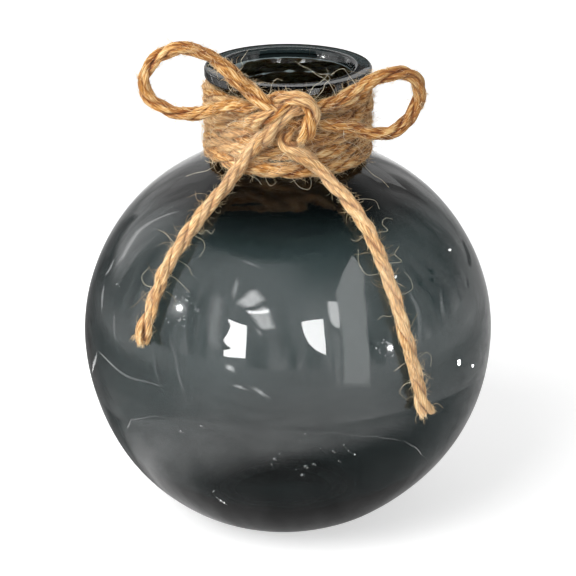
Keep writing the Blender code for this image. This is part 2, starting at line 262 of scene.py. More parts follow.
def eased(x):
    """A smooth rise from 0 to 1 as x does, and level beyond."""
    x = np.clip(x, 0.0, 1.0)
    return x * x * (3 - 2 * x)


def lattice(rows, columns, seed):
    """Random numbers from 0 to 1 on a grid, the same in each run."""
    return np.random.default_rng(seed).random((rows, columns))


def value_noise(x, y, seed):
    """Smooth noise from 0 to 1 over two arrays of places, with features one unit long."""
    grid = lattice(256, 256, seed)
    x0 = np.floor(x).astype(int)
    y0 = np.floor(y).astype(int)
    fx = eased(x - x0)
    fy = eased(y - y0)
    a = grid[x0 % 256, y0 % 256]
    b = grid[(x0 + 1) % 256, y0 % 256]
    c = grid[x0 % 256, (y0 + 1) % 256]
    d = grid[(x0 + 1) % 256, (y0 + 1) % 256]
    return (a * (1 - fx) + b * fx) * (1 - fy) + (c * (1 - fx) + d * fx) * fy


def smooth_through(route, before=None, after=None):
    """Fine points and thickness shares of the centripetal Catmull-Rom curve that the CAD tube follows."""
    points = [point for point, share in route]
    shares = [share for point, share in route]
    first = before[-2][0] if before else 2 * points[0] - points[1]
    last = after[1][0] if after else 2 * points[-1] - points[-2]
    points = [first] + points + [last]
    line = []
    for i in range(1, len(points) - 2):
        p0, p1, p2, p3 = points[i - 1 : i + 3]
        t1 = math.sqrt((p1 - p0).length)
        t2 = t1 + math.sqrt((p2 - p1).length)
        t3 = t2 + math.sqrt((p3 - p2).length)
        for j in range(SAMPLES_PER_SPAN):
            way = j / SAMPLES_PER_SPAN
            t = t1 + (t2 - t1) * way
            a1 = p0.lerp(p1, t / t1)
            a2 = p1.lerp(p2, (t - t1) / (t2 - t1))
            a3 = p2.lerp(p3, (t - t2) / (t3 - t2))
            b1 = a1.lerp(a2, t / t2)
            b2 = a2.lerp(a3, (t - t1) / (t3 - t1))
            share = shares[i - 1] + (shares[i] - shares[i - 1]) * way
            line.append((*b1.lerp(b2, (t - t1) / (t2 - t1)), share))
    line.append((*points[-2], shares[-1]))
    return np.array(line)


def evenly(line, station):
    """The same line with its points one station apart."""
    steps = np.linalg.norm(np.diff(line[:, :3], axis=0), axis=1)
    along = np.concatenate([[0.0], np.cumsum(steps)])
    count = max(2, round(along[-1] / station))
    stops = np.linspace(0.0, along[-1], count + 1)
    return np.stack([np.interp(stops, along, line[:, k]) for k in range(line.shape[1])], axis=1)


def winding_line():
    """Centreline of the winding, level round the neck, which drops a pitch at the back left each turn."""
    start = math.radians(WINDING_START_DEG)
    end = math.tau * (WINDING_LEVELS - 1) + math.radians(WINDING_END_DEG)
    count = round((end - start) / math.tau * WINDING_STATIONS_PER_TURN)
    angle = np.linspace(start, end, count + 1)
    turn = np.maximum(np.floor(angle / math.tau), 0.0)
    from_rad = math.radians(DESCENT_FROM_DEG)
    span = math.radians(DESCENT_TO_DEG) - from_rad
    share = np.clip((angle - turn * math.tau - from_rad) / span, 0.0, 1.0)
    level = WINDING_LEVELS - 1 - turn - (0.5 - 0.5 * np.cos(math.pi * share))
    height = NECK_ROOT_Z + TWINE_R + WINDING_PITCH * level
    sag = WINDING_SAG * (value_noise(angle * 1.3, turn * 0 + 3.0, 11) - 0.5)
    wave = WINDING_WAVE * (value_noise(angle * 1.7, turn * 0 + 7.0, 12) - 0.5)
    bulge = WINDING_BULGE * (value_noise(angle * 2.1, turn * 0 + 1.0, 13) - 0.3)
    back = eased((-np.cos(angle) - WINDING_BACK_FROM) / WINDING_BACK_EASE)
    thinner = WINDING_BACK_THINNER * back
    radius = WINDING_R + bulge + WINDING_STAND_OFF - TWINE_R * thinner
    height = height + sag + wave * (1 - back) + WINDING_BACK_SPREAD * back * level / (WINDING_LEVELS - 1)
    for turns_up, before, width, lift in WINDING_LIFTS:
        middle = math.tau * (WINDING_LEVELS - 1 - turns_up) - before
        height += lift * np.exp(-(((angle - middle) / width) ** 2))
    share = WINDING_FULLNESS * (1 - thinner)
    return np.stack([radius * np.sin(angle), -radius * np.cos(angle), height, share], axis=1)


def moving_frames(points):
    """Tangents, and a pair of cross directions that don't twist about the line."""
    tangents = np.gradient(points, axis=0)
    tangents /= np.linalg.norm(tangents, axis=1)[:, None]
    normal = np.cross(tangents[0], [0.0, 0.0, 1.0])
    if np.linalg.norm(normal) < 0.1:
        normal = np.cross(tangents[0], [1.0, 0.0, 0.0])
    normals = []
    for tangent in tangents:
        normal = normal - tangent * np.dot(normal, tangent)
        normal = normal / np.linalg.norm(normal)
        normals.append(normal)
    normals = np.array(normals)
    return tangents, normals, np.cross(tangents, normals)


def mesh_object(name, points, faces, smooth=True):
    mesh = bpy.data.meshes.new(name)
    mesh.from_pydata([tuple(p) for p in points], [], [tuple(f) for f in faces])
    mesh.polygons.foreach_set("use_smooth", [smooth] * len(mesh.polygons))
    obj = bpy.data.objects.new(name, mesh)
    bpy.context.scene.collection.objects.link(obj)
    return obj


def tube_faces(rings, sides, first):
    """Quads of a closed tube whose rings follow on from vertex number first, and fans at both ends."""
    i = np.arange(rings - 1)[:, None]
    j = np.arange(sides)[None, :]
    k = (j + 1) % sides
    a = first + i * sides + j
    b = first + i * sides + k
    c = first + (i + 1) * sides + k
    d = first + (i + 1) * sides + j
    quads = np.stack([a, b, c, d], axis=-1).reshape(-1, 4).tolist()
    start_tip = first + rings * sides
    end_tip = start_tip + 1
    last = first + (rings - 1) * sides
    start = [(start_tip, first + (n + 1) % sides, first + n) for n in range(sides)]
    end = [(end_tip, last + n, last + (n + 1) % sides) for n in range(sides)]
    return quads + start + end


class Strand:
    """One run of twine: its line, its frames, and where each of its three plies lies."""

    def __init__(self, line, seed, stretch=(1.0, 1.0, 1.0)):
        self.points = line[:, :3]
        self.share = line[:, 3]
        self.stretch = np.array(stretch)
        self.opening = np.zeros((PLIES, len(line)))
        self.tone = np.zeros(len(line))
        steps = np.linalg.norm(np.diff(self.points, axis=0), axis=1)
        self.along = np.concatenate([[0.0], np.cumsum(steps)])
        self.tangents, self.normals, self.sides = moving_frames(self.points)
        self.seed = seed

    def ply(self, number):
        """Middle line, outward directions and half thickness of one ply."""
        s = self.along
        wander = value_noise(s / WANDER_LENGTH, np.full_like(s, 5.0 * number), self.seed + 1) - 0.5
        swell = value_noise(s / SWELL_LENGTH, np.full_like(s, 9.0 * number), self.seed + 2) - 0.5
        phase = -math.tau * s / LAY_LENGTH + math.tau * number / PLIES + WANDER_TURN * wander
        out = np.cos(phase)[:, None] * self.normals + np.sin(phase)[:, None] * self.sides
        size = TWINE_R * self.share * (1 + PLY_SWELL * swell)
        offset = TWINE_R * self.share * PLY_OFFSET * (1 + WANDER_OFFSET * wander) + self.opening[number]
        return self.points + out * offset[:, None] * self.stretch, out, size

    def swell(self, low, high, share, ease):
        """Make the twine this much thicker between two stations, over an ease of so many stations."""
        station = np.arange(len(self.points))
        inside = np.minimum(station - low, high - station) / ease
        self.share = self.share * (1 + (share - 1) * eased(inside + 0.5))

    def fray(self, at_start, reach, openings):
        """Let the plies of a cut end open out over this reach, each by its own distance."""
        distance = self.along if at_start else self.along[-1] - self.along
        share = np.clip(1 - distance / reach, 0.0, 1.0) ** 1.5
        for number, opening in enumerate(openings):
            self.opening[number] += opening * share


def ply_vertices(strand, number, low, high):
    """Rings of one ply from station low to high, and their places along and round it."""
    middle, out, size = strand.ply(number)
    direction = np.gradient(middle, axis=0)
    direction /= np.linalg.norm(direction, axis=1)[:, None]
    out = out - direction * np.sum(out * direction, axis=1)[:, None]
    out /= np.linalg.norm(out, axis=1)[:, None]
    across = np.cross(direction, out)
    s = strand.along
    theta = np.linspace(-math.pi, math.pi, PLY_SIDES, endpoint=False)
    turned = theta[None, :] - math.tau * s[:, None] / FIBRE_LAY_LENGTH
    along = np.broadcast_to(s[:, None], turned.shape)
    v = turned / math.tau
    seed = strand.seed + 10 * number
    relief = 1.0
    for i, (around, length, depth) in enumerate(RIDGES):
        relief = relief + depth * (value_noise(v * around, along / length, seed + 3 + i) - 0.5)
    radial = (size * PLY_RADIAL)[:, None] * relief * np.cos(theta)[None, :]
    sideways = (size * PLY_ACROSS)[:, None] * relief * np.sin(theta)[None, :]
    rings = radial[..., None] * out[:, None, :] + sideways[..., None] * across[:, None, :]
    rings = middle[:, None, :] + rings * strand.stretch
    reach = np.linalg.norm(rings - strand.points[:, None, :], axis=2) / (TWINE_R * strand.share)[:, None]
    keep = slice(low, high + 1)
    return rings[keep], along[keep], v[keep], middle[keep], direction[keep], reach[keep]


def point_values(obj, name, values):
    """Give each vertex a number that the material reads by this name."""
    layer = obj.data.attributes.new(name, "FLOAT", "POINT")
    layer.data.foreach_set("value", np.array(values, dtype=np.float32))


def numbers_of(items, name):
    """One whole number of each of a mesh's items."""
    values = np.zeros(len(items), dtype=int)
    items.foreach_get(name, values)
    return values


def lay_lines(mesh, lines):
    """Lay a UV pair per vertex on the mesh, with no face torn where a turn round the ply ends."""
    uv = np.array(lines)[numbers_of(mesh.loops, "vertex_index")]
    starts = numbers_of(mesh.polygons, "loop_start")
    totals = numbers_of(mesh.polygons, "loop_total")
    for offset in range(4):
        first = starts[totals > offset]
        rows = first + offset
        uv[rows, 1] += np.round(uv[first, 1] - uv[rows, 1])
    uv[:, 0] *= UV_PER_METRE
    mesh.uv_layers.new(name="fibre_lines").data.foreach_set("uv", uv.astype(np.float32).ravel())


def twine_piece(name, strand, low, high):
    """A stretch of twine as a mesh of three plies, each a closed tube with fibres in relief."""
    vertices = []
    faces = []
    lines = []
    reaches = []
    tones = []
    for number in range(PLIES):
        rings, along, v, middle, direction, reach = ply_vertices(strand, number, low, high)
        reaches += [*reach.ravel(), 1.0, 1.0]
        own = value_noise(along[:, 0] / TONE_LENGTH, np.full(len(along), 4.0 * number), strand.seed + 5) - 0.5
        # The stretch's tone holds its painted light and shade, and each ply adds its own random tone
        tone = strand.tone[low : high + 1] + PLY_TONES * own
        tones += [*np.repeat(tone, PLY_SIDES), tone[0], tone[-1]]
        faces += tube_faces(len(rings), PLY_SIDES, len(vertices))
        vertices += rings.reshape(-1, 3).tolist()
        vertices.append((middle[0] - direction[0] * PLY_TIP).tolist())
        vertices.append((middle[-1] + direction[-1] * PLY_TIP).tolist())
        shift = UV_SHIFT * number
        lines += np.stack([along, v + shift], axis=-1).reshape(-1, 2).tolist()
        lines += [[along[0, 0], shift], [along[-1, 0], shift]]
    obj = mesh_object(name, vertices, faces)
    lay_lines(obj.data, lines)
    point_values(obj, "crest", reaches)
    point_values(obj, "tone", tones)
    obj.data.materials.append(jute_material)
    return obj


# How far loose fibres keep off the glass, and the longest one
HAIR_CLEAR = 1.004
RIM_CLEAR = 0.0003
NECK_CLEAR = 0.0002
LONGEST_HAIR = 0.015

# Corners of a fibre, in radians, and a direction that few fibres run in
THIRDS = (0.0, math.tau / 3, 2 * math.tau / 3)
ASKEW = (0.3, 0.5, 0.81)

# Loose fibres: number in each mm of twine, lengths, lean off the strand in radians, curl in turns per metre
LYING = {
    "per_mm": 4.2, "shortest": 0.0016, "further": 0.0014, "lean": (0.0, 0.55), "curl": (60.0, 320.0),
    "thick": (0.00007, 0.00012), "segments": 3, "wander": 0.09,
}
SHORT = {
    "per_mm": 3.4, "shortest": 0.0010, "further": 0.0012, "lean": (0.3, 1.3), "curl": (100.0, 600.0),
    "thick": (0.00005, 0.00009), "segments": 4, "wander": 0.12,
}
LONG = {
    "per_mm": 1.5, "shortest": 0.0022, "further": 0.0030, "lean": (0.25, 1.30), "curl": (30.0, 330.0),
    "thick": (0.00005, 0.00008), "segments": 12, "wander": 0.17,
}

# Where fibres leave a ply: spread round its face in radians, depth of the root as a share of the ply
FACE_SPREAD = 0.9
ROOT_DEPTH = 0.85

# How far headings stray, and how far curls keep to axes across the fibre
UNRULY = 0.12
CURL_ACROSS = 0.7

# Fibres out of a cut end
BRUSH_SPREAD = 0.42
BRUSH_LEAN = 0.15
BRUSH_SPRAY = 0.5
BRUSH_UNRULY = 0.13
BRUSH_ROOT = 0.0015
BRUSH_LENGTHS = (0.45, 1.0)
BRUSH_THICK = (0.00012, 0.00022)
BRUSH_CURL = 90.0

# Fibres across the face of the winding
MAT_COUNT = 1500
MAT_FROM_ROOT = 0.001
MAT_PAST_TOP = 0.002
MAT_REACH = (0.75, 1.02)
MAT_SLOPE = 0.42
MAT_RISE = (0.0, 0.22)
MAT_CURL = (22.0, 50.0)
MAT_SWAY = 90.0
MAT_LENGTHS = (0.004, 0.012)
MAT_THICK = (0.00008, 0.00014)


def unit(vectors):
    return vectors / np.maximum(np.linalg.norm(vectors, axis=-1, keepdims=True), 1e-9)


def kept_out(points):
    """The points, with those inside the glass moved to just off it."""
    up = points[:, 2] - BODY_CENTRE_Z
    height = np.where(up > 0, SHOULDER_H, BELLY_H)
    across = np.hypot(points[:, 0], points[:, 1])
    depth = np.maximum(np.hypot(across / BODY_R, up / height), 1e-6)
    grow = np.maximum(1.0, HAIR_CLEAR / depth)
    points = np.stack([points[:, 0] * grow, points[:, 1] * grow, BODY_CENTRE_Z + up * grow], axis=1)
    across = np.maximum(np.hypot(points[:, 0], points[:, 1]), 1e-6)
    below_top = points[:, 2] < TOTAL_H + RIM_CLEAR
    edge = np.where(points[:, 2] > RIM_Z - RIM_CLEAR, RIM_R, NECK_R) + NECK_CLEAR
    grow = np.where(below_top & (across < edge), edge / across, 1.0)
    return np.stack([points[:, 0] * grow, points[:, 1] * grow, points[:, 2]], axis=1)


def fibre_ring(places, headings, width):
    """The three corners of a fibre at each place."""
    side = unit(np.cross(headings, ASKEW))
    other = np.cross(headings, side)
    return [places + width * (side * math.cos(angle) + other * math.sin(angle)) for angle in THIRDS]


class Fuzz:
    """A mesh of loose fibres, each a thin closed tube that tapers to its tip."""

    def __init__(self, seed):
        self.rng = np.random.default_rng(seed)
        self.vertices = []
        self.faces = []
        self.count = 0

    def grow(self, roots, headings, lengths, curls, thick, segments, wander=0.09):
        """Fibres from these roots, all with so many segments, which turn about the axes in curls."""
        n = len(roots)
        step = (lengths / segments)[:, None]
        points = roots
        rings = []
        for k in range(segments):
            width = (thick * (1 - 0.6 * k / segments))[:, None]
            rings += fibre_ring(kept_out(points), headings, width)
            points = points + headings * step
            turn = np.cross(curls, headings) * step
            headings = unit(headings + turn + self.rng.normal(0.0, wander, (n, 3)))
        first_heading = unit(rings[3] - rings[0])
        rings.append(kept_out(roots - first_heading * 0.0001))
        rings.append(kept_out(points))
        per_fibre = 3 * segments + 2
        quads = []
        for k in range(segments - 1):
            for j in range(3):
                a = k * 3 + j
                b = k * 3 + (j + 1) % 3
                quads.append((a, b, b + 3, a + 3))
        tail = 3 * segments
        last = tail - 3
        fans = [(tail, (j + 1) % 3, j) for j in range(3)]
        fans += [(tail + 1, last + j, last + (j + 1) % 3) for j in range(3)]
        starts = (self.count + per_fibre * np.arange(n))[:, None, None]
        for pattern in (np.array(quads), np.array(fans)):
            self.faces += (starts + pattern[None, :, :]).reshape(-1, pattern.shape[1]).tolist()
        self.vertices.append(np.stack(rings, axis=1).reshape(-1, 3))
        self.count += n * per_fibre

    def along(self, strand, low, high, kinds):
        """Fibres of several kinds off a stretch of twine."""
        rng = self.rng
        plies = [strand.ply(number) for number in range(PLIES)]
        length_mm = 1000 * (strand.along[high] - strand.along[low])
        for kind in kinds:
            n = round(kind["per_mm"] * length_mm)
            number = rng.integers(PLIES, size=n)
            station = rng.integers(low, high + 1, size=n)
            middle = np.array([ply[0] for ply in plies])[number, station]
            out = np.array([ply[1] for ply in plies])[number, station]
            size = np.array([ply[2] for ply in plies])[number, station][:, None]
            tangent = strand.tangents[station]
            turn = rng.normal(0.0, FACE_SPREAD, n)[:, None]
            face = out * np.cos(turn) + np.cross(tangent, out) * np.sin(turn)
            roots = middle + face * size * PLY_RADIAL * ROOT_DEPTH * strand.stretch
            lengths = np.minimum(LONGEST_HAIR, kind["shortest"] + rng.exponential(kind["further"], n))
            lean = rng.uniform(*kind["lean"], n)[:, None]
            way = rng.choice([-1.0, 1.0], n)[:, None]
            headings = tangent * way * np.cos(lean) + face * np.sin(lean)
            headings = unit(headings + rng.normal(0.0, 1.0, (n, 3)) * UNRULY * (1 + lean))
            curls = rng.normal(0.0, 1.0, (n, 3))
            curls = unit(curls - CURL_ACROSS * headings * np.sum(curls * headings, axis=1)[:, None])
            curls = curls * rng.uniform(*kind["curl"], n)[:, None]
            thick = rng.uniform(*kind["thick"], n)
            self.grow(roots, headings, lengths, curls, thick, kind["segments"], kind["wander"])

    def brush(self, strand, at_start, count, length, fan):
        """Coarse fibres out of a cut end."""
        rng = self.rng
        station = 0 if at_start else len(strand.points) - 1
        ahead = strand.tangents[station] * (-1.0 if at_start else 1.0)
        for number in range(PLIES):
            middle, out, size = strand.ply(number)
            spot = rng.normal(0.0, BRUSH_SPREAD, (count, 2)) * size[station] * PLY_ACROSS
            across = np.cross(ahead, out[station])
            spray = spot[:, :1] * out[station] + spot[:, 1:] * across
            roots = middle[station] + spray - ahead * BRUSH_ROOT
            headings = ahead + fan * (out[station] * (strand.opening[number][station] / TWINE_R + BRUSH_LEAN))
            headings = headings + spray / TWINE_R * BRUSH_SPRAY
            headings = unit(headings + rng.normal(0.0, BRUSH_UNRULY, (count, 3)))
            curls = rng.normal(0.0, BRUSH_CURL, (count, 3))
            lengths = length * rng.uniform(*BRUSH_LENGTHS, count) + BRUSH_ROOT
            self.grow(roots, headings, lengths, curls, rng.uniform(*BRUSH_THICK, count), 5)

    def mat(self, count, low_z, high_z):
        """Fibres that lie about on the face of the winding and bind its turns together."""
        rng = self.rng
        angle = rng.uniform(0.0, math.tau, count)
        height = rng.uniform(low_z, high_z, count)
        level = np.zeros(count)
        out = np.stack([np.sin(angle), -np.cos(angle), level], axis=1)
        ahead = np.stack([np.cos(angle), np.sin(angle), level], axis=1)
        reach = WINDING_R + TWINE_R * rng.uniform(*MAT_REACH, count)
        roots = out * reach[:, None] + np.stack([level, level, height], axis=1)
        slope = rng.normal(0.0, MAT_SLOPE, count)[:, None]
        way = rng.choice([-1.0, 1.0], count)[:, None]
        headings = ahead * way * np.cos(slope) + np.array([0.0, 0.0, 1.0]) * np.sin(slope)
        headings = unit(headings + out * rng.uniform(*MAT_RISE, count)[:, None])
        curls = np.cross(headings, -out) * rng.uniform(*MAT_CURL, count)[:, None]
        curls = curls + out * rng.normal(0.0, MAT_SWAY, count)[:, None]
        lengths = rng.uniform(*MAT_LENGTHS, count)
        self.grow(roots, headings, lengths, curls, rng.uniform(*MAT_THICK, count), 7)

    def thread(self, points, thick):
        """One long fibre along these points."""
        headings = unit(np.gradient(points, axis=0))
        width = np.linspace(thick, 0.6 * thick, len(points))[:, None]
        ring = fibre_ring(points, headings, width)
        tips = [points[0] - headings[0] * thick, points[-1] + headings[-1] * thick]
        self.faces += tube_faces(len(points), 3, self.count)
        self.vertices.append(np.concatenate([np.stack(ring, axis=1).reshape(-1, 3), tips]))
        self.count += 3 * len(points) + 2

    def piece(self, name, material):
        obj = mesh_object(name, np.concatenate(self.vertices).tolist(), self.faces)
        obj.data.materials.append(material)
        return obj


def node_tree(name):
    material = bpy.data.materials.new(name)
    material.use_nodes = True
    tree = material.node_tree
    return material, tree, tree.nodes["Principled BSDF"]


def join(tree, socket, value):
    """Link a socket to another node's output, or set it to a plain value."""
    if isinstance(value, bpy.types.NodeSocket):
        tree.links.new(value, socket)
    else:
        socket.default_value = value


def feed(tree, node, **inputs):
    """The node, with its sockets set or linked by name."""
    for key, value in inputs.items():
        join(tree, node.inputs[key.replace("_", " ")], value)
    return node


def add(tree, kind, **inputs):
    """A new node of this kind, with its sockets set or linked by name."""
    return feed(tree, tree.nodes.new(kind), **inputs)


def colour_ramp(tree, factor, stops):
    ramp = add(tree, "ShaderNodeValToRGB", Fac=factor)
    elements = ramp.color_ramp.elements
    while len(elements) < len(stops):
        elements.new(0.5)
    for element, (place, colour) in zip(elements, stops):
        element.position = place
        element.color = (*colour, 1.0)
    return ramp.outputs["Color"]


def stretched_noise(tree, coordinates, scale, detail):
    """Noise in streaks: the coordinates are scaled by axis before the noise reads them."""
    mapping = add(tree, "ShaderNodeMapping", Vector=coordinates, Scale=scale)
    noise = add(tree, "ShaderNodeTexNoise", Vector=mapping.outputs["Vector"], Scale=1.0, Detail=detail)
    return noise.outputs["Fac"]


def patches(tree, scale):
    """Soft patches over an object, about so many to the metre."""
    place = tree.nodes.new("ShaderNodeTexCoord").outputs["Object"]
    return add(tree, "ShaderNodeTexNoise", Vector=place, Scale=scale, Detail=2.0).outputs["Fac"]


def attribute(tree, name):
    """The number that a mesh carries at each of its points."""
    node = tree.nodes.new("ShaderNodeAttribute")
    node.attribute_name = name
    return node.outputs["Fac"]


def mixed(tree, kind, factor, first, second):
    node = tree.nodes.new("ShaderNodeMix")
    node.data_type = "RGBA"
    node.blend_type = kind
    for number, value in ((0, factor), (6, first), (7, second)):
        join(tree, node.inputs[number], value)
    return node.outputs[2]


def mixed_value(tree, share, first, second):
    node = tree.nodes.new("ShaderNodeMix")
    for number, value in ((0, share), (2, first), (3, second)):
        join(tree, node.inputs[number], value)
    return node.outputs[0]


def mixed_shader(tree, share, first, second):
    node = tree.nodes.new("ShaderNodeMixShader")
    for socket, value in zip(node.inputs, (share, first, second)):
        join(tree, socket, value)
    return node.outputs[0]


def maths(tree, operation, *values):
    node = tree.nodes.new("ShaderNodeMath")
    node.operation = operation
    for socket, value in zip(node.inputs, values):
        join(tree, socket, value)
    return node.outputs[0]


def plus(tree, first, second):
    return maths(tree, "ADD", first, second)


def minus(tree, first, second):
    return maths(tree, "SUBTRACT", first, second)


def times(tree, first, second):
    return maths(tree, "MULTIPLY", first, second)


def grey(value):
    return (value, value, value)


def ramp_of(tree, value, low, high):
    """A smooth rise from 0 at the low value to 1 at the high one."""
    node = add(tree, "ShaderNodeMapRange", Value=value, From_Min=min(low, high), From_Max=max(low, high))
    node.interpolation_type = "SMOOTHSTEP"
    if low > high:
        feed(tree, node, To_Min=1.0, To_Max=0.0)
    return node.outputs["Result"]


# Streaks of jute fibre: how fine along, across and in between, their detail, and their share
STREAKS = (((1.5, 10.0, 1.0), 2.0, 0.40), ((3.2, 32.0, 1.0), 2.5, 0.45), ((0.5, 4.0, 1.0), 1.0, 0.15))

# Colours of jute, from painted shade between fibres, through the fibres' own colours, to a painted highlight
# on the palest fibre, and its stains
JUTE_COLOURS = [
    (0.40, (0.17, 0.052, 0.007)), (0.465, (0.52, 0.215, 0.040)), (0.515, (0.79, 0.415, 0.120)),
    (0.575, (1.00, 0.780, 0.430)),
]
JUTE_STAINS = [(0.35, (0.80, 0.74, 0.66)), (0.62, (1.0, 1.0, 1.0))]
# Painted shade in the grooves between plies, where a ply's face turns in towards the twine's middle
JUTE_GROOVE_PAINTED_SHADE = (0.58, 0.40, 0.24, 1.0)
# Colours that the tone mixes in: painted shade and painted light on some stretches, and random differences
# between plies
JUTE_DARKER = (0.62, 0.54, 0.44, 1.0)
JUTE_PALER = (1.0, 0.80, 0.54, 1.0)
JUTE_SHEEN = (1.0, 0.86, 0.66, 1.0)


def make_jute():
    """Jute: streaks of gold, tan and brown fibre that run along each ply, with painted shade between fibres
    and in the grooves, painted highlights, and painted light and shade by stretch; rough and a little hairy.
    """
    material, tree, shader = node_tree("jute_twine")
    uv = tree.nodes.new("ShaderNodeUVMap")
    uv.uv_map = "fibre_lines"
    wide, narrow, bundles = (
        times(tree, stretched_noise(tree, uv.outputs["UV"], scale, detail), share)
        for scale, detail, share in STREAKS
    )
    fibre = plus(tree, plus(tree, wide, narrow), bundles)
    stains = colour_ramp(tree, patches(tree, 90.0), JUTE_STAINS)
    colour = mixed(tree, "MULTIPLY", 1.0, colour_ramp(tree, fibre, JUTE_COLOURS), stains)
    # Painted shade: the colour darkens where a ply's face lies deep, in the grooves between plies
    painted_groove_shade = ramp_of(tree, attribute(tree, "crest"), 0.98, 0.66)
    colour = mixed(tree, "MULTIPLY", painted_groove_shade, colour, JUTE_GROOVE_PAINTED_SHADE)
    # The tone paints light and shade: it darkens or pales the colour by stretch and across the winding, and
    # varies at random between plies
    tone = attribute(tree, "tone")
    colour = mixed(tree, "MULTIPLY", times(tree, tone, -1.0), colour, JUTE_DARKER)
    colour = mixed(tree, "MIX", times(tree, tone, 0.35), colour, JUTE_PALER)
    bump = add(tree, "ShaderNodeBump", Height=fibre, Strength=0.6, Distance=0.0008)
    feed(tree, shader, Base_Color=colour, Normal=bump.outputs["Normal"], Roughness=0.85)
    feed(tree, shader, Specular_IOR_Level=0.25, Sheen_Weight=0.22, Sheen_Roughness=0.5, Sheen_Tint=JUTE_SHEEN)
    return material


def make_hair(name, darker, paler):
    material, tree, shader = node_tree(name)
    colour = colour_ramp(tree, patches(tree, 240.0), [(0.35, darker), (0.65, paler)])
    feed(tree, shader, Base_Color=colour, Roughness=0.7, Specular_IOR_Level=0.3)
    return material


jute_material = make_jute()
hair_material = make_hair("jute_hair", (0.76, 0.51, 0.25), (0.98, 0.82, 0.55))
stray_material = make_hair("jute_stray_hair", (0.86, 0.74, 0.50), (1.0, 0.94, 0.74))

# Ends that the knot hides: the left loop's leg dives under the tail, and a loose ply lies over the leg
LEG_ROOT = (
    laid(on_winding, SQUEEZED, (0.62, -0.98, 0.50), (0.22, -0.72, 0.62), (-0.26, -0.34, 0.95))
    + [LEFT_LOOP[0]]
)
LOOSE_PLY = [
    (on_winding(0.10, 0.66, 1.10), 0.70),
    (on_winding(-0.50, 0.42, 1.52), 0.95),
    (on_winding(-1.15, 0.08, 1.72), 1.18),
    (on_winding(-1.80, -0.30, 1.50), 1.22),
    (on_winding(-2.35, -0.66, 1.00), 1.10),
    (on_winding(-2.75, -0.95, 0.45), 0.90),
    (on_winding(-3.00, -1.15, 0.05), 0.60),
]

# One length of twine: the first chain ends under the knot, the second has both tails
CHAINS = [
    [("bow_leg_root", LEG_ROOT), ("bow_loop_left", LEFT_LOOP), ("bow_knot_over", KNOT_OVER)],
    [
        ("bow_tail_left", LEFT_TAIL[::-1]),
        ("bow_loop_right", RIGHT_LOOP),
        ("bow_knot_under", KNOT_UNDER),
        ("bow_tail_right", RIGHT_TAIL),
    ],
    [("bow_loose_ply", LOOSE_PLY)],
]


def chained(chain):
    """The fine line through a chain's stretches, and the station at which each one starts and ends."""
    lines = []
    spans = []
    total = 0
    for i, (name, route) in enumerate(chain):
        before = chain[i - 1][1] if i else None
        after = chain[i + 1][1] if i + 1 < len(chain) else None
        line = evenly(smooth_through(route, before, after), STATION)
        spans.append((name, total, total + len(line) - 1))
        total += len(line) - 1
        lines.append(line[:-1] if after else line)
    return np.concatenate(lines), spans


strands = {}
for chain_number, chain in enumerate(CHAINS):
    line, spans = chained(chain)
    strand = Strand(line, 100 + 50 * chain_number)
    for name, low, high in spans:
        strands[name] = (strand, low, high)

# Painted light and shade on each stretch, paler where light falls on it and darker where it lies in shade: 1
# is palest, -1 darkest
STRETCH_PAINTED_LIGHT = {
    "bow_leg_root": -0.2, "bow_loop_left": -0.3, "bow_knot_over": 0.10, "bow_tail_left": 0.50,
    "bow_loop_right": -0.85, "bow_knot_under": 0.0, "bow_tail_right": 0.75, "bow_loose_ply": 0.1,
}
TONE_EASE = 21
# Painted light and shade on the winding: paler on its left, towards the key light, and darker on its right
WINDING_TONE = 0.10
WINDING_PAINTED_SHADE_ACROSS = 9.0
for strand in dict.fromkeys(strand for strand, low, high in strands.values()):
    tone = np.zeros(len(strand.points) + 2 * TONE_EASE)
    spans = [(low, high, STRETCH_PAINTED_LIGHT[name]) for name, (owner, low, high) in strands.items() if owner is strand]
    for low, high, level in sorted(spans):
        tone[low + TONE_EASE : high + TONE_EASE + 1] = level
    tone[:TONE_EASE] = tone[TONE_EASE]
    tone[-TONE_EASE:] = tone[-TONE_EASE - 1]
    strand.tone = np.convolve(tone, np.full(TONE_EASE, 1 / TONE_EASE), "same")[TONE_EASE:-TONE_EASE]

# Where the knot lets the plies swell, by stations, and the cut ends that open out
strand, low, high = strands["bow_loop_left"]
strand.swell(low, low + 30, 1.26, 16)
strand, low, high = strands["bow_knot_over"]
strand.swell(low + 8, high, 1.38, 14)
strand.fray(False, 0.006, (0.0004, 0.0010, -0.0002))
strand, low, high = strands["bow_tail_left"]
strand.swell(high - 40, high - 6, 1.20, 12)
strand.fray(True, 0.012, (0.0022, 0.0012, 0.0007))
strand, low, high = strands["bow_tail_right"]
strand.swell(low, low + 24, 1.20, 10)
strand.fray(False, 0.009, (0.0011, 0.0007, 0.0013))

CORDS = {
    "bow_loop_left": ("object", "loose"),
    "bow_loop_right": ("object", "loose"),
    "bow_tail_left": ("bare", "hanging"),
    "bow_tail_right": ("bare", "hanging"),
}
BRUSHES = {
    "bow_tail_left": (True, 24, 0.0021, 1.0),
    "bow_tail_right": (False, 22, 0.0016, 0.6),
    "bow_knot_over": (False, 20, 0.0028, 0.8),
}
for number, (name, (strand, low, high)) in enumerate(strands.items()):
    piece = twine_piece(name + "_twine", strand, low, high)
    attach(piece, "root")
    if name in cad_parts:
        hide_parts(name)
    fuzz = Fuzz(300 + number)
    fuzz.along(strand, low, high, (LYING, SHORT, LONG))
    if name in BRUSHES:
        fuzz.brush(strand, *BRUSHES[name])
    fuzz = fuzz.piece(name + "_hairs", hair_material)
    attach(fuzz, "root")
    if name in CORDS:
        path = strand.points[low : high + 1]
        if name == "bow_tail_left":
            path = path[::-1]

winding = Strand(winding_line(), 200, WINDING_STRETCH)
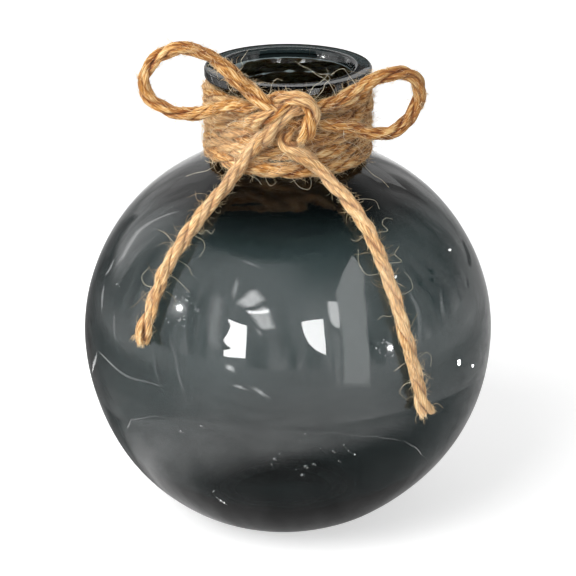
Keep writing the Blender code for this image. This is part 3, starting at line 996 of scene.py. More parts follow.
# Painted shade: the winding's tone falls from its lit left side to its shaded right side
winding.tone = WINDING_TONE - WINDING_PAINTED_SHADE_ACROSS * winding.points[:, 0]
winding_piece = twine_piece("neck_winding_twine", winding, 0, len(winding.points) - 1)
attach(winding_piece, "root")
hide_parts("neck_winding")
fuzz = Fuzz(400)
fuzz.along(winding, 0, len(winding.points) - 1, (LYING, SHORT, LONG))
top_turn_z = NECK_ROOT_Z + TWINE_R + WINDING_PITCH * (WINDING_LEVELS - 1)
fuzz.mat(MAT_COUNT, NECK_ROOT_Z + MAT_FROM_ROOT, top_turn_z + MAT_PAST_TOP)
winding_hairs = fuzz.piece("neck_winding_hairs", hair_material)
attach(winding_hairs, "root")


# Glass: how finely it is turned, and its tint
GLASS_SEGMENTS = 256
ARC_STEP_DEG = 1.5
FILLET_STEP_DEG = 7.5
PUSH_UP_STEPS = 10
GLASS_TINT = (0.09, 0.19, 0.195, 1.0)
GLASS_DENSITY = 600.0


def wall_at(elevation):
    """Thickness of the blown wall: even at the waist, thicker towards the neck and the base."""
    up = eased((elevation - NECK_ROOT_FROM_DEG) / (NECK_ROOT_TO_DEG - NECK_ROOT_FROM_DEG))
    down = eased((elevation - BASE_FROM_DEG) / (BASE_TO_DEG - BASE_FROM_DEG))
    return BODY_WALL + (NECK_ROOT_WALL - BODY_WALL) * up + (BASE_WALL - BODY_WALL) * down


def outer_at(elevation):
    a = math.radians(elevation)
    height = SHOULDER_H if elevation > 0 else BELLY_H
    return BODY_R * math.cos(a), BODY_CENTRE_Z + height * math.sin(a)


def inner_at(elevation):
    """Point of the inner face: the outer one, set in square to it by the wall."""
    a = math.radians(elevation)
    height = SHOULDER_H if elevation > 0 else BELLY_H
    square = Vector((height * math.cos(a), BODY_R * math.sin(a))).normalized()
    return tuple(Vector(outer_at(elevation)) - square * wall_at(elevation))


def fillet(before, corner, after, radius):
    """Points of a round of this radius, which touches both lines that meet at the corner."""
    corner = Vector(corner)
    to_before = (Vector(before) - corner).normalized()
    to_after = (Vector(after) - corner).normalized()
    half_angle = to_before.angle(to_after) / 2
    centre = corner + (to_before + to_after).normalized() * radius / math.sin(half_angle)
    start = corner + to_before * radius / math.tan(half_angle) - centre
    end = corner + to_after * radius / math.tan(half_angle) - centre
    steps = max(3, round(math.degrees(math.pi - 2 * half_angle) / FILLET_STEP_DEG))
    return [tuple(centre + start.slerp(end, i / steps).normalized() * radius) for i in range(steps + 1)]


def crossing(before, inside, level, axis):
    """Point on the line through two points at which it reaches this level on one axis."""
    t = (level - before[axis]) / (inside[axis] - before[axis])
    return tuple(before[k] + (inside[k] - before[k]) * t for k in range(2))


def glass_profile():
    floor_z = PUSH_UP_H + BASE_THICKNESS
    steps = int(180 / ARC_STEP_DEG)
    inner = [inner_at(-90 + 180 * i / steps) for i in range(1, steps)]
    inner = [p for p in inner if p[1] > floor_z and (p[1] < BODY_CENTRE_Z or p[0] > BORE_R)]
    floor_corner = crossing(inner[0], inner[1], floor_z, 1)
    throat = crossing(inner[-2], inner[-1], BORE_R, 0)
    neck_deg = math.degrees(math.acos(NECK_R / BODY_R))
    foot_deg = -math.degrees(math.acos(FOOT_R / BODY_R))
    count = round((neck_deg - foot_deg) / ARC_STEP_DEG)
    outer = [outer_at(neck_deg + (foot_deg - neck_deg) * i / count) for i in range(1, count)]
    push_up = [i / PUSH_UP_STEPS for i in range(PUSH_UP_STEPS + 1)]
    corners = [
        (0.0, floor_z, 0.0),
        (*floor_corner, FLOOR_CORNER_R),
        *[(*p, 0.0) for p in inner],
        (*throat, THROAT_FILLET_R),
        (BORE_R, RIM_Z, 0.0),
        (MOUTH_R, TOTAL_H, MOUTH_EDGE_R),
        (RIM_R, TOTAL_H, RIM_EDGE_R),
        (RIM_R, RIM_Z, RIM_EDGE_R),
        (NECK_R, RIM_Z, RIM_ROOT_R),
        (NECK_R, NECK_ROOT_Z, NECK_FILLET_R),
        *[(*p, 0.0) for p in outer],
        (FOOT_R, 0.0, FOOT_EDGE_R),
        *[(PUSH_UP_R * (1 - t), PUSH_UP_H * math.sin(math.pi / 2 * t), 0.0) for t in push_up],
    ]
    points = []
    for i, (radius, height, round_r) in enumerate(corners):
        corner = (radius, height)
        if not round_r:
            points.append(corner)
            continue
        # A round takes the place of the points near its corner, so its lines reach past them
        before = i - 1
        while before > 0 and math.dist(corners[before][:2], corner) < round_r:
            before -= 1
        after = i + 1
        while after < len(corners) - 1 and math.dist(corners[after][:2], corner) < round_r:
            after += 1
        arc_points = fillet(corners[before][:2], corner, corners[after][:2], round_r)
        while points and math.dist(points[-1], corner) < math.dist(arc_points[0], corner):
            points.pop()
        points += arc_points
        skip_reach = math.dist(arc_points[-1], corner)
        for k in range(i + 1, after):
            if math.dist(corners[k][:2], corner) < skip_reach:
                corners[k] = (None, None, 0.0)
    return [p for p in points if p[0] is not None]


def make_glass():
    """Smoke-grey blown glass with a faint green cast, tinted through its depth."""
    material, tree, shader = node_tree("smoked_glass_clear")
    feed(tree, shader, Base_Color=(1.0, 1.0, 1.0, 1.0), Roughness=0.0, IOR=1.5, Transmission_Weight=1.0)
    volume = add(tree, "ShaderNodeVolumeAbsorption", Color=GLASS_TINT, Density=GLASS_DENSITY)
    feed(tree, tree.nodes["Material Output"], Volume=volume.outputs["Volume"])
    return material


# Waves of the glass: their height, how many go round the ball, and how they fade out at the neck
WAVE_COUNT = 14
FINE_WAVE = 0.000014
FINE_WAVES_ROUND = 33
LONG_WAVE = 0.00009
LONG_WAVES_ROUND = 9
WAVES_FROM_R = NECK_R + 0.003
WAVES_EASE = 0.022

# How far the foot stands to the left, and where on the ball that begins
FOOT_LEFT = 0.0020
FOOT_LEFT_FROM_DEG = 12.0
FOOT_LEFT_EASE_DEG = 50.0

# Seeds in the glass: their form, and where they show in the frame with their radius in mm
SEED_RINGS = 8
SEED_SIDES = 12
SEED_DEPTH = (0.35, 0.6)
SEED_LENGTH = 1.25
SEED_FLATNESS = 0.8
SEEDS = [
    (275, 459, 0.90), (280, 454, 0.65), (222, 500, 0.80), (226, 502, 0.60), (215, 491, 0.65),
    (119, 286, 0.55), (202, 427, 0.85), (182, 432, 0.70), (305, 434, 0.65), (334, 452, 0.90),
    (345, 446, 0.65), (356, 456, 0.70), (307, 467, 0.95), (315, 465, 0.65), (304, 476, 0.80),
    (301, 440, 0.60), (340, 462, 0.60), (272, 464, 0.60), (298, 470, 0.55), (322, 449, 0.50),
    (350, 452, 0.50), (218, 497, 0.50),
]


def seen(column, row):
    """The line of sight through a pixel, the point where it meets the ball, and the way out from there."""
    half = camera_data.sensor_width / 2 / CAMERA_LENS
    across = (column - FRAME_MIDDLE) / FRAME_MIDDLE * half
    up = (FRAME_MIDDLE - row) / FRAME_MIDDLE * half
    down = math.radians(CAMERA_DOWN_DEG)
    forward = Vector((0.0, math.cos(down), -math.sin(down)))
    upward = Vector((0.0, math.sin(down), math.cos(down)))
    ray = (forward + Vector((1.0, 0.0, 0.0)) * across + upward * up).normalized()
    centre = Vector((0.0, 0.0, BODY_CENTRE_Z))
    start = Vector(CAMERA_AT) - centre
    for height in (SHOULDER_H, BELLY_H):
        scale = Vector((1 / BODY_R, 1 / BODY_R, 1 / height))
        a = Vector(x * y for x, y in zip(ray, scale))
        b = Vector(x * y for x, y in zip(start, scale))
        reach = max(a.dot(b) ** 2 - a.length_squared * (b.length_squared - 1), 0.0)
        hit = start + ray * ((-a.dot(b) - math.sqrt(reach)) / a.length_squared)
        if (hit.z > 0) == (height == SHOULDER_H):
            break
    outward = Vector(x * y * y for x, y in zip(hit, scale)).normalized()
    return ray, hit + centre, outward


def waves(azimuth, elevation, around, size, seed):
    """Low waves that cross each other, about this many round the ball, and this high."""
    rng = np.random.default_rng(seed)
    total = np.zeros_like(azimuth)
    for _ in range(WAVE_COUNT):
        heading = rng.uniform(0.0, math.pi)
        turns = round(around * math.cos(heading))
        total += np.cos(turns * azimuth + around * math.sin(heading) * elevation + rng.uniform(0.0, math.tau))
    return size * total / math.sqrt(WAVE_COUNT)


def blown(points, seed):
    """The turned points, with the slight waves of blown glass, and the foot a little to the left."""
    across = np.hypot(points[:, 0], points[:, 1])
    up = points[:, 2] - BODY_CENTRE_Z
    azimuth = np.arctan2(points[:, 0], -points[:, 1])
    elevation = np.arctan2(up, across)
    body = eased((across - WAVES_FROM_R) / WAVES_EASE)
    push = waves(azimuth, elevation, FINE_WAVES_ROUND, FINE_WAVE, seed)
    push += waves(azimuth, elevation, LONG_WAVES_ROUND, LONG_WAVE, seed + 1)
    away = np.stack([points[:, 0], points[:, 1], up], axis=1)
    away /= np.maximum(np.linalg.norm(away, axis=1), 1e-6)[:, None]
    points = points + away * (body * push)[:, None]
    points[:, 0] -= FOOT_LEFT * eased((-np.degrees(elevation) - FOOT_LEFT_FROM_DEG) / FOOT_LEFT_EASE_DEG)
    return points


def seeds(first):
    """Small air bubbles inside the wall: their faces turn inwards, towards the air."""
    vertices = []
    faces = []
    rng = np.random.default_rng(61)
    for column, row, radius_mm in SEEDS:
        point, outward = seen(column, row)[1:]
        wall = wall_at(math.degrees(math.asin((point.z - BODY_CENTRE_Z) / BODY_R)))
        middle = point - outward * wall * rng.uniform(*SEED_DEPTH)
        long_way = outward.cross(Vector((0.0, 0.0, 1.0))).normalized()
        axes = (long_way * SEED_LENGTH, outward.cross(long_way), outward * SEED_FLATNESS)
        start = first + len(vertices)
        for i in range(1, SEED_RINGS):
            a = math.pi * i / SEED_RINGS
            for j in range(SEED_SIDES):
                b = math.tau * j / SEED_SIDES
                parts = (math.sin(a) * math.cos(b), math.sin(a) * math.sin(b), math.cos(a))
                offset = sum((axis * part for axis, part in zip(axes, parts)), Vector())
                vertices.append(tuple(middle + offset * radius_mm / 1000))
        vertices += [tuple(middle + axes[2] * radius_mm / 1000), tuple(middle - axes[2] * radius_mm / 1000)]
        shell = tube_faces(SEED_RINGS - 1, SEED_SIDES, start)
        a, b, c = (Vector(vertices[k - first]) for k in shell[0][:3])
        outwards = (b - a).cross(c - a).dot(a - middle) > 0
        faces += [face[::-1] if outwards else face for face in shell]
    return vertices, faces


def make_vase():
    """The profile turned about the axis, inner face first, with the seeds in its wall."""
    profile = glass_profile()
    rings = [p for p in profile if p[0] > 1e-6]
    angles = np.linspace(0.0, math.tau, GLASS_SEGMENTS, endpoint=False)
    radius = np.array([p[0] for p in rings])
    height = np.array([p[1] for p in rings])
    x = radius[:, None] * np.sin(angles)[None, :]
    y = -radius[:, None] * np.cos(angles)[None, :]
    z = np.broadcast_to(height[:, None], x.shape)
    vertices = np.stack([x, y, z], axis=-1)
    bore = next(i for i, p in enumerate(rings) if abs(p[0] - BORE_R) < 1e-6 and p[1] > BODY_CENTRE_Z)
    inner = blown(vertices[:bore].reshape(-1, 3), 71)
    outer = blown(vertices[bore:].reshape(-1, 3), 81)
    vertices = np.concatenate([inner, outer]).tolist()
    vertices += [(-FOOT_LEFT, 0.0, profile[end][1]) for end in (0, -1)]
    faces = [face[::-1] for face in tube_faces(len(rings), GLASS_SEGMENTS, 0)]
    seed_vertices, seed_faces = seeds(len(vertices))
    vertices += seed_vertices
    faces += seed_faces
    obj = mesh_object("glass_vase_blown", vertices, faces)
    obj.data.materials.append(make_glass())
    return obj


vase = make_vase()
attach(vase, "root")
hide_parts("glass_vase")


# Long stray fibres, by where they show in the frame: in front of the mouth, and over the ball
STRAY_THICK = 0.000085
STRAY_LIFT = 0.0016
STRAY_STAND_OFF = 0.0055
STRAY_STAGGER = 0.0003
STRAY_ROOT = 0.6 * TWINE_R
STRAYS_BY_MOUTH = [
    [(295, 61), (302, 66), (309, 69), (317, 75), (323, 78), (329, 83)],
    [(248, 50), (244, 56), (241, 61), (243, 66)],
    [(323, 90), (325, 84), (330, 79), (327, 75), (318, 74)],
    [(331, 75), (338, 70), (344, 69), (347, 73)],
    [(314, 86), (322, 81), (328, 73), (326, 68)],
    [(262, 92), (254, 84), (246, 80), (240, 83)],
    [(270, 92), (272, 84), (277, 79), (283, 81)],
    [(352, 80), (356, 86), (353, 92)],
    [(238, 96), (231, 91), (228, 84), (232, 80)],
    [(300, 132), (309, 138), (313, 146), (310, 152)],
    [(262, 128), (255, 137), (247, 141), (240, 150)],
    [(322, 118), (331, 124), (341, 121), (349, 127)],
    [(345, 140), (357, 146), (365, 155), (370, 152)],
    [(232, 122), (224, 129), (215, 128), (210, 134)],
    [(286, 152), (279, 160), (281, 168), (275, 174)],
]
STRAYS_ON_BALL = [
    [(284, 173), (293, 181), (300, 189), (308, 192), (311, 183), (305, 172)],
    [(290, 185), (297, 180), (306, 172)],
    [(218, 164), (208, 172), (197, 176), (187, 178)],
    [(250, 176), (257, 181), (262, 187)],
    [(240, 168), (236, 176), (240, 183)],
    [(268, 174), (266, 181), (271, 187), (277, 184)],
    [(216, 231), (212, 235), (207, 231), (203, 236)],
    [(177, 279), (183, 285), (191, 293)],
    [(160, 231), (167, 235), (176, 244)],
    [(150, 268), (144, 277), (147, 285)],
    [(200, 258), (206, 250), (204, 242), (198, 238)],
    [(181, 262), (190, 268), (193, 276)],
    [(357, 251), (358, 264), (366, 275), (377, 275)],
    [(402, 273), (409, 279), (411, 288), (406, 293)],
    [(400, 262), (394, 255), (397, 248)],
    [(377, 320), (382, 316), (388, 317), (394, 312)],
    [(393, 371), (398, 366), (405, 361)],
    [(362, 238), (355, 243), (350, 240)],
    [(386, 232), (381, 226), (385, 219), (391, 221)],
    [(424, 352), (430, 357), (429, 366)],
    [(404, 398), (399, 392), (402, 384)],
    [(372, 176), (380, 181), (387, 190)],
    [(366, 200), (374, 203), (378, 211)],
]

TWINE_POINTS = np.concatenate(
    [winding.points] + [strand.points[low : high + 1] for strand, low, high in strands.values()]
)


def in_plane(column, row, y):
    """The place on the line of sight through a pixel that lies in an upright plane across the view."""
    ray = seen(column, row)[0]
    return Vector(CAMERA_AT) + ray * ((y - CAMERA_AT[1]) / ray.y)


def rooted(route):
    """The route, turned so that it starts at the end nearer to the twine, and led into the twine there."""
    gaps = [np.linalg.norm(TWINE_POINTS - np.array(end), axis=1) for end in (route[0], route[-1])]
    if gaps[1].min() < gaps[0].min():
        route = route[::-1]
        gaps = gaps[::-1]
    if gaps[0].min() < TWINE_R:
        return route
    root = Vector(TWINE_POINTS[gaps[0].argmin()])
    return [root.lerp(route[0], STRAY_ROOT / gaps[0].min())] + route


def add_stray(route):
    """One long hair along the route, rooted in the twine."""
    route = [(point, 1.0) for point in rooted(route)]
    strays.thread(smooth_through(route)[:, :3], STRAY_THICK)


strays = Fuzz(500)
for number, pixels in enumerate(STRAYS_BY_MOUTH):
    depth = -KNOT_SEAT_R - STRAY_STAND_OFF - STRAY_STAGGER * (number % 4)
    add_stray([in_plane(column, row, depth) for column, row in pixels])
for number, pixels in enumerate(STRAYS_ON_BALL):
    route = []
    for i, pixel in enumerate(pixels):
        point, outward = seen(*pixel)[1:]
        route.append(point + outward * STRAY_LIFT * (0.7 + 0.3 * math.cos(2.1 * i + number)))
    add_stray(route)
strays = strays.piece("stray_hairs", stray_material)
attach(strays, "root")


# Floor: what the camera sees of it, and its light edge and shade as the ball mirrors them
FLOOR_SIZE = 6.0
FLOOR_COLOUR = (0.80, 0.80, 0.80, 1.0)
FLOOR_OWN_LIGHT = 0.59
FLOOR_THROUGH_GLASS = 0.55
SHADE_EASE = 0.026
SHADE_UNEVEN = 0.05
TABLE_EDGE_EASE = 0.0015
TABLE_TO_ROOM = (0.35, 0.70)

# World: a grey to light by, and the room that the ball mirrors, where its levels give way to the next
WORLD_GREY = 0.42
LOW_TO_MIDDLE = (-0.02, 0.15)

# The dark overhead: where it begins, where it is full, and its depth, all round and at the front left
OVERHEAD = (0.60, 0.88, 0.96)
OVERHEAD_LEFT = (0.80, 0.965, 0.88)
FRONT_RAMP = (0.0, -0.45)
LEFT_RAMP = (0.34, -0.22)

# Streaks in the mirrored light: how fine they are round the vase and outwards or up, and their depth
FLOOR_STREAKS = ((5.0, 5.0, 40.0), 0.9)
ROOM_STREAKS = ((6.0, 6.0, 1.4), 3.4)
ROOM_STREAKS_END = (0.45, 0.70)
ROOM_STREAKS_LEAST = 0.2


def by_azimuth(tree, around, stops):
    """A level read off a list of degrees from the back towards the right and levels, by straight lines."""
    place = maths(tree, "MULTIPLY_ADD", around, 0.5 / math.pi, 0.5)
    stops = [((degrees + 180.0) / 360.0, grey(level / BRIGHTEST)) for degrees, level in stops]
    return times(tree, colour_ramp(tree, place, stops), BRIGHTEST)


def streaked(tree, around, along, scale, depth):
    """Streaks about a level of 1, by the way round and by one more measure."""
    sine = maths(tree, "SINE", around)
    cosine = maths(tree, "COSINE", around)
    place = add(tree, "ShaderNodeCombineXYZ", X=sine, Y=cosine, Z=along).outputs["Vector"]
    noise = stretched_noise(tree, place, scale, 6.0)
    return plus(tree, 1.0, times(tree, minus(tree, noise, 0.5), depth))


# Light that the ball mirrors, by degrees round from the back: off the table, and from the room
BRIGHTEST = 3.0
TABLE_NEAR = [
    (-180, 0.22), (-143, 0.30), (-128, 0.50), (-113, 0.50), (-98, 0.44), (-83, 0.24), (-68, 0.17),
    (-36, 0.15), (-8, 0.30), (8, 0.30), (36, 0.40), (52, 0.26), (67, 0.36), (97, 0.30), (112, 0.26),
    (127, 0.22), (180, 0.22),
]
TABLE_MIDDLE = [
    (-180, 2.1), (-143, 2.1), (-128, 1.8), (-113, 1.4), (-98, 1.0), (-83, 0.24), (-68, 0.16), (-53, 0.25),
    (-30, 0.26), (-20, 0.36), (-11, 0.60), (11, 0.60), (24, 0.48), (36, 0.42), (67, 0.43), (97, 0.34),
    (112, 0.45), (127, 1.0), (142, 1.4), (158, 1.6), (180, 2.1),
]
TABLE_FAR = [
    (-180, 2.0), (-143, 1.9), (-128, 1.4), (-113, 1.0), (-98, 0.72), (-83, 0.5), (-68, 0.25), (-53, 0.20),
    (-36, 0.18), (-28, 0.26), (-20, 0.42), (-11, 0.85), (11, 0.85), (20, 0.62), (36, 0.52), (67, 0.52),
    (83, 0.65), (97, 0.9), (112, 1.2), (127, 1.5), (142, 2.0), (158, 2.1), (180, 2.0),
]
SHADE_REACH = [
    (-180, 0.131), (-143, 0.108), (-128, 0.100), (-113, 0.088), (-98, 0.075), (-60, 0.10), (60, 0.12),
    (97, 0.16), (112, 0.16), (127, 0.150), (142, 0.144), (158, 0.140), (180, 0.131),
]
TABLE_EDGE = [
    (-180, 0.192), (-158, 0.196), (-143, 0.194), (-128, 0.180), (-113, 0.164), (-98, 0.150), (-83, 0.140),
    (-60, 0.150), (60, 0.190), (97, 0.200), (127, 0.205), (158, 0.200), (180, 0.192),
]
ROOM_LOW = [
    (-180, 1.8), (-150, 1.9), (-120, 1.6), (-90, 1.6), (-76, 1.25), (-65, 0.75), (-52, 0.40), (-44, 0.22),
    (-36, 0.13), (-28, 0.26), (-18, 0.60), (-10, 1.3), (-4, 1.6), (2, 1.6), (9, 1.5), (16, 0.60),
    (29, 0.45), (43, 0.58), (54, 0.75), (61, 1.0), (90, 1.3), (120, 1.75), (150, 1.9), (180, 1.8),
]
ROOM_MIDDLE = [
    (-180, 1.6), (-126, 1.6), (-90, 1.5), (-72, 1.25), (-54, 1.20), (-43, 1.05), (-36, 0.80), (-20, 0.75),
    (-7, 0.75), (-4, 0.06), (4, 0.08), (8, 1.1), (14, 0.95), (22, 0.60), (36, 0.46), (54, 0.42),
    (76, 0.5), (90, 0.9), (108, 1.1), (126, 1.2), (153, 1.4), (180, 1.6),
]


def mirrored_only(tree, path):
    """1 for a ray off a mirror: a sharp refraction counts as glossy too, so transmission takes it out."""
    return times(tree, path.outputs["Is Glossy Ray"], minus(tree, 1.0, path.outputs["Is Transmission Ray"]))


def mirrored_floor(tree):
    """What reflections see of the floor: a table top round the vase, with the shade under the ball."""
    place = add(tree, "ShaderNodeSeparateXYZ", Vector=tree.nodes.new("ShaderNodeTexCoord").outputs["Object"])
    x = place.outputs["X"]
    y = place.outputs["Y"]
    far = maths(tree, "SQRT", plus(tree, times(tree, x, x), times(tree, y, y)))
    around = maths(tree, "ARCTAN2", x, y)
    uneven = add(tree, "ShaderNodeTexNoise", Scale=24.0, Detail=4.0).outputs["Fac"]
    near, middle, outer, room, shade, end = (
        by_azimuth(tree, around, stops)
        for stops in (TABLE_NEAR, TABLE_MIDDLE, TABLE_FAR, ROOM_LOW, SHADE_REACH, TABLE_EDGE)
    )
    edge = plus(tree, minus(tree, far, shade), times(tree, minus(tree, uneven, 0.5), SHADE_UNEVEN))
    level = mixed_value(tree, ramp_of(tree, edge, -SHADE_EASE, SHADE_EASE), near, middle)
    past_end = ramp_of(tree, minus(tree, far, end), -TABLE_EDGE_EASE, TABLE_EDGE_EASE)
    level = mixed_value(tree, past_end, level, outer)
    level = mixed_value(tree, ramp_of(tree, far, *TABLE_TO_ROOM), level, room)
    return times(tree, level, streaked(tree, around, far, *FLOOR_STREAKS))


def make_floor():
    """A pale floor that reads white to the camera and in the glass, and still takes the vase's shadow."""
    size = FLOOR_SIZE
    corners = [(-size, -size, 0.0), (size, -size, 0.0), (size, size, 0.0), (-size, size, 0.0)]
    obj = mesh_object("pale_floor", corners, [(0, 1, 2, 3)], smooth=False)
    material, tree, shader = node_tree("pale_floor")
    tree.nodes.remove(shader)
    path = tree.nodes.new("ShaderNodeLightPath")
    to_camera = times(tree, path.outputs["Is Camera Ray"], FLOOR_OWN_LIGHT)
    through_glass = times(tree, path.outputs["Is Transmission Ray"], FLOOR_THROUGH_GLASS)
    diffuse = add(tree, "ShaderNodeBsdfDiffuse", Color=FLOOR_COLOUR)
    glow = add(tree, "ShaderNodeEmission", Strength=plus(tree, to_camera, through_glass))
    both = tree.nodes.new("ShaderNodeAddShader")
    join(tree, both.inputs[0], diffuse.outputs[0])
    join(tree, both.inputs[1], glow.outputs[0])
    mirror = add(tree, "ShaderNodeEmission", Strength=mirrored_floor(tree))
    surface = mixed_shader(tree, mirrored_only(tree, path), both.outputs[0], mirror.outputs[0])
    feed(tree, tree.nodes["Material Output"], Surface=surface)
    obj.data.materials.append(material)


def darker_overhead(tree, up, low, high, depth):
    return minus(tree, 1.0, times(tree, ramp_of(tree, up, low, high), depth))


def make_world():
    """White to the camera and through the glass, a soft grey to light by, and a room for reflections."""
    world = bpy.data.worlds.new("studio")
    bpy.context.scene.world = world
    world.use_nodes = True
    tree = world.node_tree
    path = tree.nodes.new("ShaderNodeLightPath")
    direction = tree.nodes.new("ShaderNodeTexCoord").outputs["Generated"]
    x, y, up = add(tree, "ShaderNodeSeparateXYZ", Vector=direction).outputs
    around = maths(tree, "ARCTAN2", x, y)
    low = by_azimuth(tree, around, ROOM_LOW)
    room = mixed_value(tree, ramp_of(tree, up, *LOW_TO_MIDDLE), low, by_azimuth(tree, around, ROOM_MIDDLE))
    front_left = times(tree, ramp_of(tree, y, *FRONT_RAMP), ramp_of(tree, x, *LEFT_RAMP))
    elsewhere = darker_overhead(tree, up, *OVERHEAD)
    overhead = mixed_value(tree, front_left, elsewhere, darker_overhead(tree, up, *OVERHEAD_LEFT))
    streaks = streaked(tree, around, up, *ROOM_STREAKS)
    streaks = mixed_value(tree, ramp_of(tree, up, *ROOM_STREAKS_END), streaks, 1.0)
    room = times(tree, times(tree, room, overhead), maths(tree, "MAXIMUM", streaks, ROOM_STREAKS_LEAST))
    unseen = mixed_value(tree, mirrored_only(tree, path), WORLD_GREY, room)
    seen_plain = maths(tree, "MAXIMUM", path.outputs["Is Camera Ray"], path.outputs["Is Transmission Ray"])
    strength = mixed_value(tree, seen_plain, unseen, 1.0)
    feed(tree, tree.nodes["Background"], Color=(1.0, 1.0, 1.0, 1.0), Strength=strength)


# Key light, on the left of the camera and above it
KEY_AZIMUTH_DEG = -38.0
KEY_ELEVATION_DEG = 40.0
KEY_DISTANCE = 1.5
KEY_SIZE = 0.95
KEY_RADIANCE = 7.6


def make_key():
    """A soft panel that faces the vase, which nothing mirrors and the camera doesn't see."""
    data = bpy.data.lights.new("key_panel", "AREA")
    data.shape = "RECTANGLE"
    data.size = KEY_SIZE
    data.size_y = KEY_SIZE
    data.energy = KEY_RADIANCE * math.pi * KEY_SIZE**2
    obj = bpy.data.objects.new("key_panel", data)
    bpy.context.scene.collection.objects.link(obj)
    a = math.radians(KEY_AZIMUTH_DEG)
    e = math.radians(KEY_ELEVATION_DEG)
    back = Vector((math.sin(a) * math.cos(e), -math.cos(a) * math.cos(e), math.sin(e)))
    obj.location = Vector((0.0, 0.0, BODY_CENTRE_Z)) + back * KEY_DISTANCE
    obj.rotation_euler = back.to_track_quat("Z", "Y").to_euler()
    obj.visible_camera = False
    obj.visible_transmission = False
    obj.visible_glossy = False


make_floor()
make_world()
make_key()

# Room round the vase: how far its cards stand, or what share of the way to the floor, and sides of a round
ROOM_DISTANCE = 1.5
CARD_REACH = 0.9
ROUND_SIDES = 12


def mirror_card(name, strength, points, faces, cover=None):
    """A card that only reflections see, lit or dark, with how much it covers at each point."""
    obj = mesh_object(name, points, faces, smooth=False)
    material, tree, shader = node_tree(name)
    tree.nodes.remove(shader)
    share = 1.0
    if cover:
        point_values(obj, "cover", cover)
        share = attribute(tree, "cover")
    clear = tree.nodes.new("ShaderNodeBsdfTransparent").outputs[0]
    glow = add(tree, "ShaderNodeEmission", Strength=strength).outputs[0]
    feed(tree, tree.nodes["Material Output"], Surface=mixed_shader(tree, share, clear, glow))
    obj.data.materials.append(material)
    obj.visible_camera = False
    obj.visible_diffuse = False
    obj.visible_transmission = False
    obj.visible_shadow = False


def mirrored_at(column, row, nearer):
    """A place in the room that the ball mirrors at this pixel."""
    ray, point, outward = seen(column, row)
    away = ray - outward * 2 * ray.dot(outward)
    above_floor = point.z / max(-away.z, 1e-6)
    return point + away * nearer * min(ROOM_DISTANCE, CARD_REACH * above_floor)


def between(first, second, share):
    return tuple(a + (b - a) * share for a, b in zip(first, second))


def room_card(name, strength, edge, side_a, side_b, nearer):
    """A card in the room, between two lines of pixels at which the ball is to mirror it.

    It fades out over its edge, a share of its width and of its first and last stretch.
    """
    last = len(side_a) - 1
    stops = sorted({0.0, edge, *range(1, last), last - edge, float(last)})
    shares = (0.0, edge, 1.0 - edge, 1.0)
    points = []
    cover = []
    for stop in stops:
        i = min(int(stop), last - 1)
        a = between(side_a[i], side_a[i + 1], stop - i)
        b = between(side_b[i], side_b[i + 1], stop - i)
        for share in shares:
            points.append(mirrored_at(*between(a, b, share), nearer))
            cover.append(0.0 if stop in (0.0, last) or share in (0.0, 1.0) else 1.0)
    faces = [(i, i + 1, i + 5, i + 4) for i in range(4 * len(stops) - 4) if i % 4 < 3]
    mirror_card(name, strength, points, faces, cover)


def round_card(name, strength, column, row, radius, nearer):
    """A round card in the room, by the pixel at which the ball mirrors its middle and a radius in pixels."""
    turns = [math.tau * i / ROUND_SIDES for i in range(ROUND_SIDES)]
    edge = [(column + radius * math.cos(turn), row + radius * math.sin(turn)) for turn in turns]
    mirror_card(name, strength, [mirrored_at(*pixel, nearer) for pixel in edge], [tuple(range(ROUND_SIDES))])


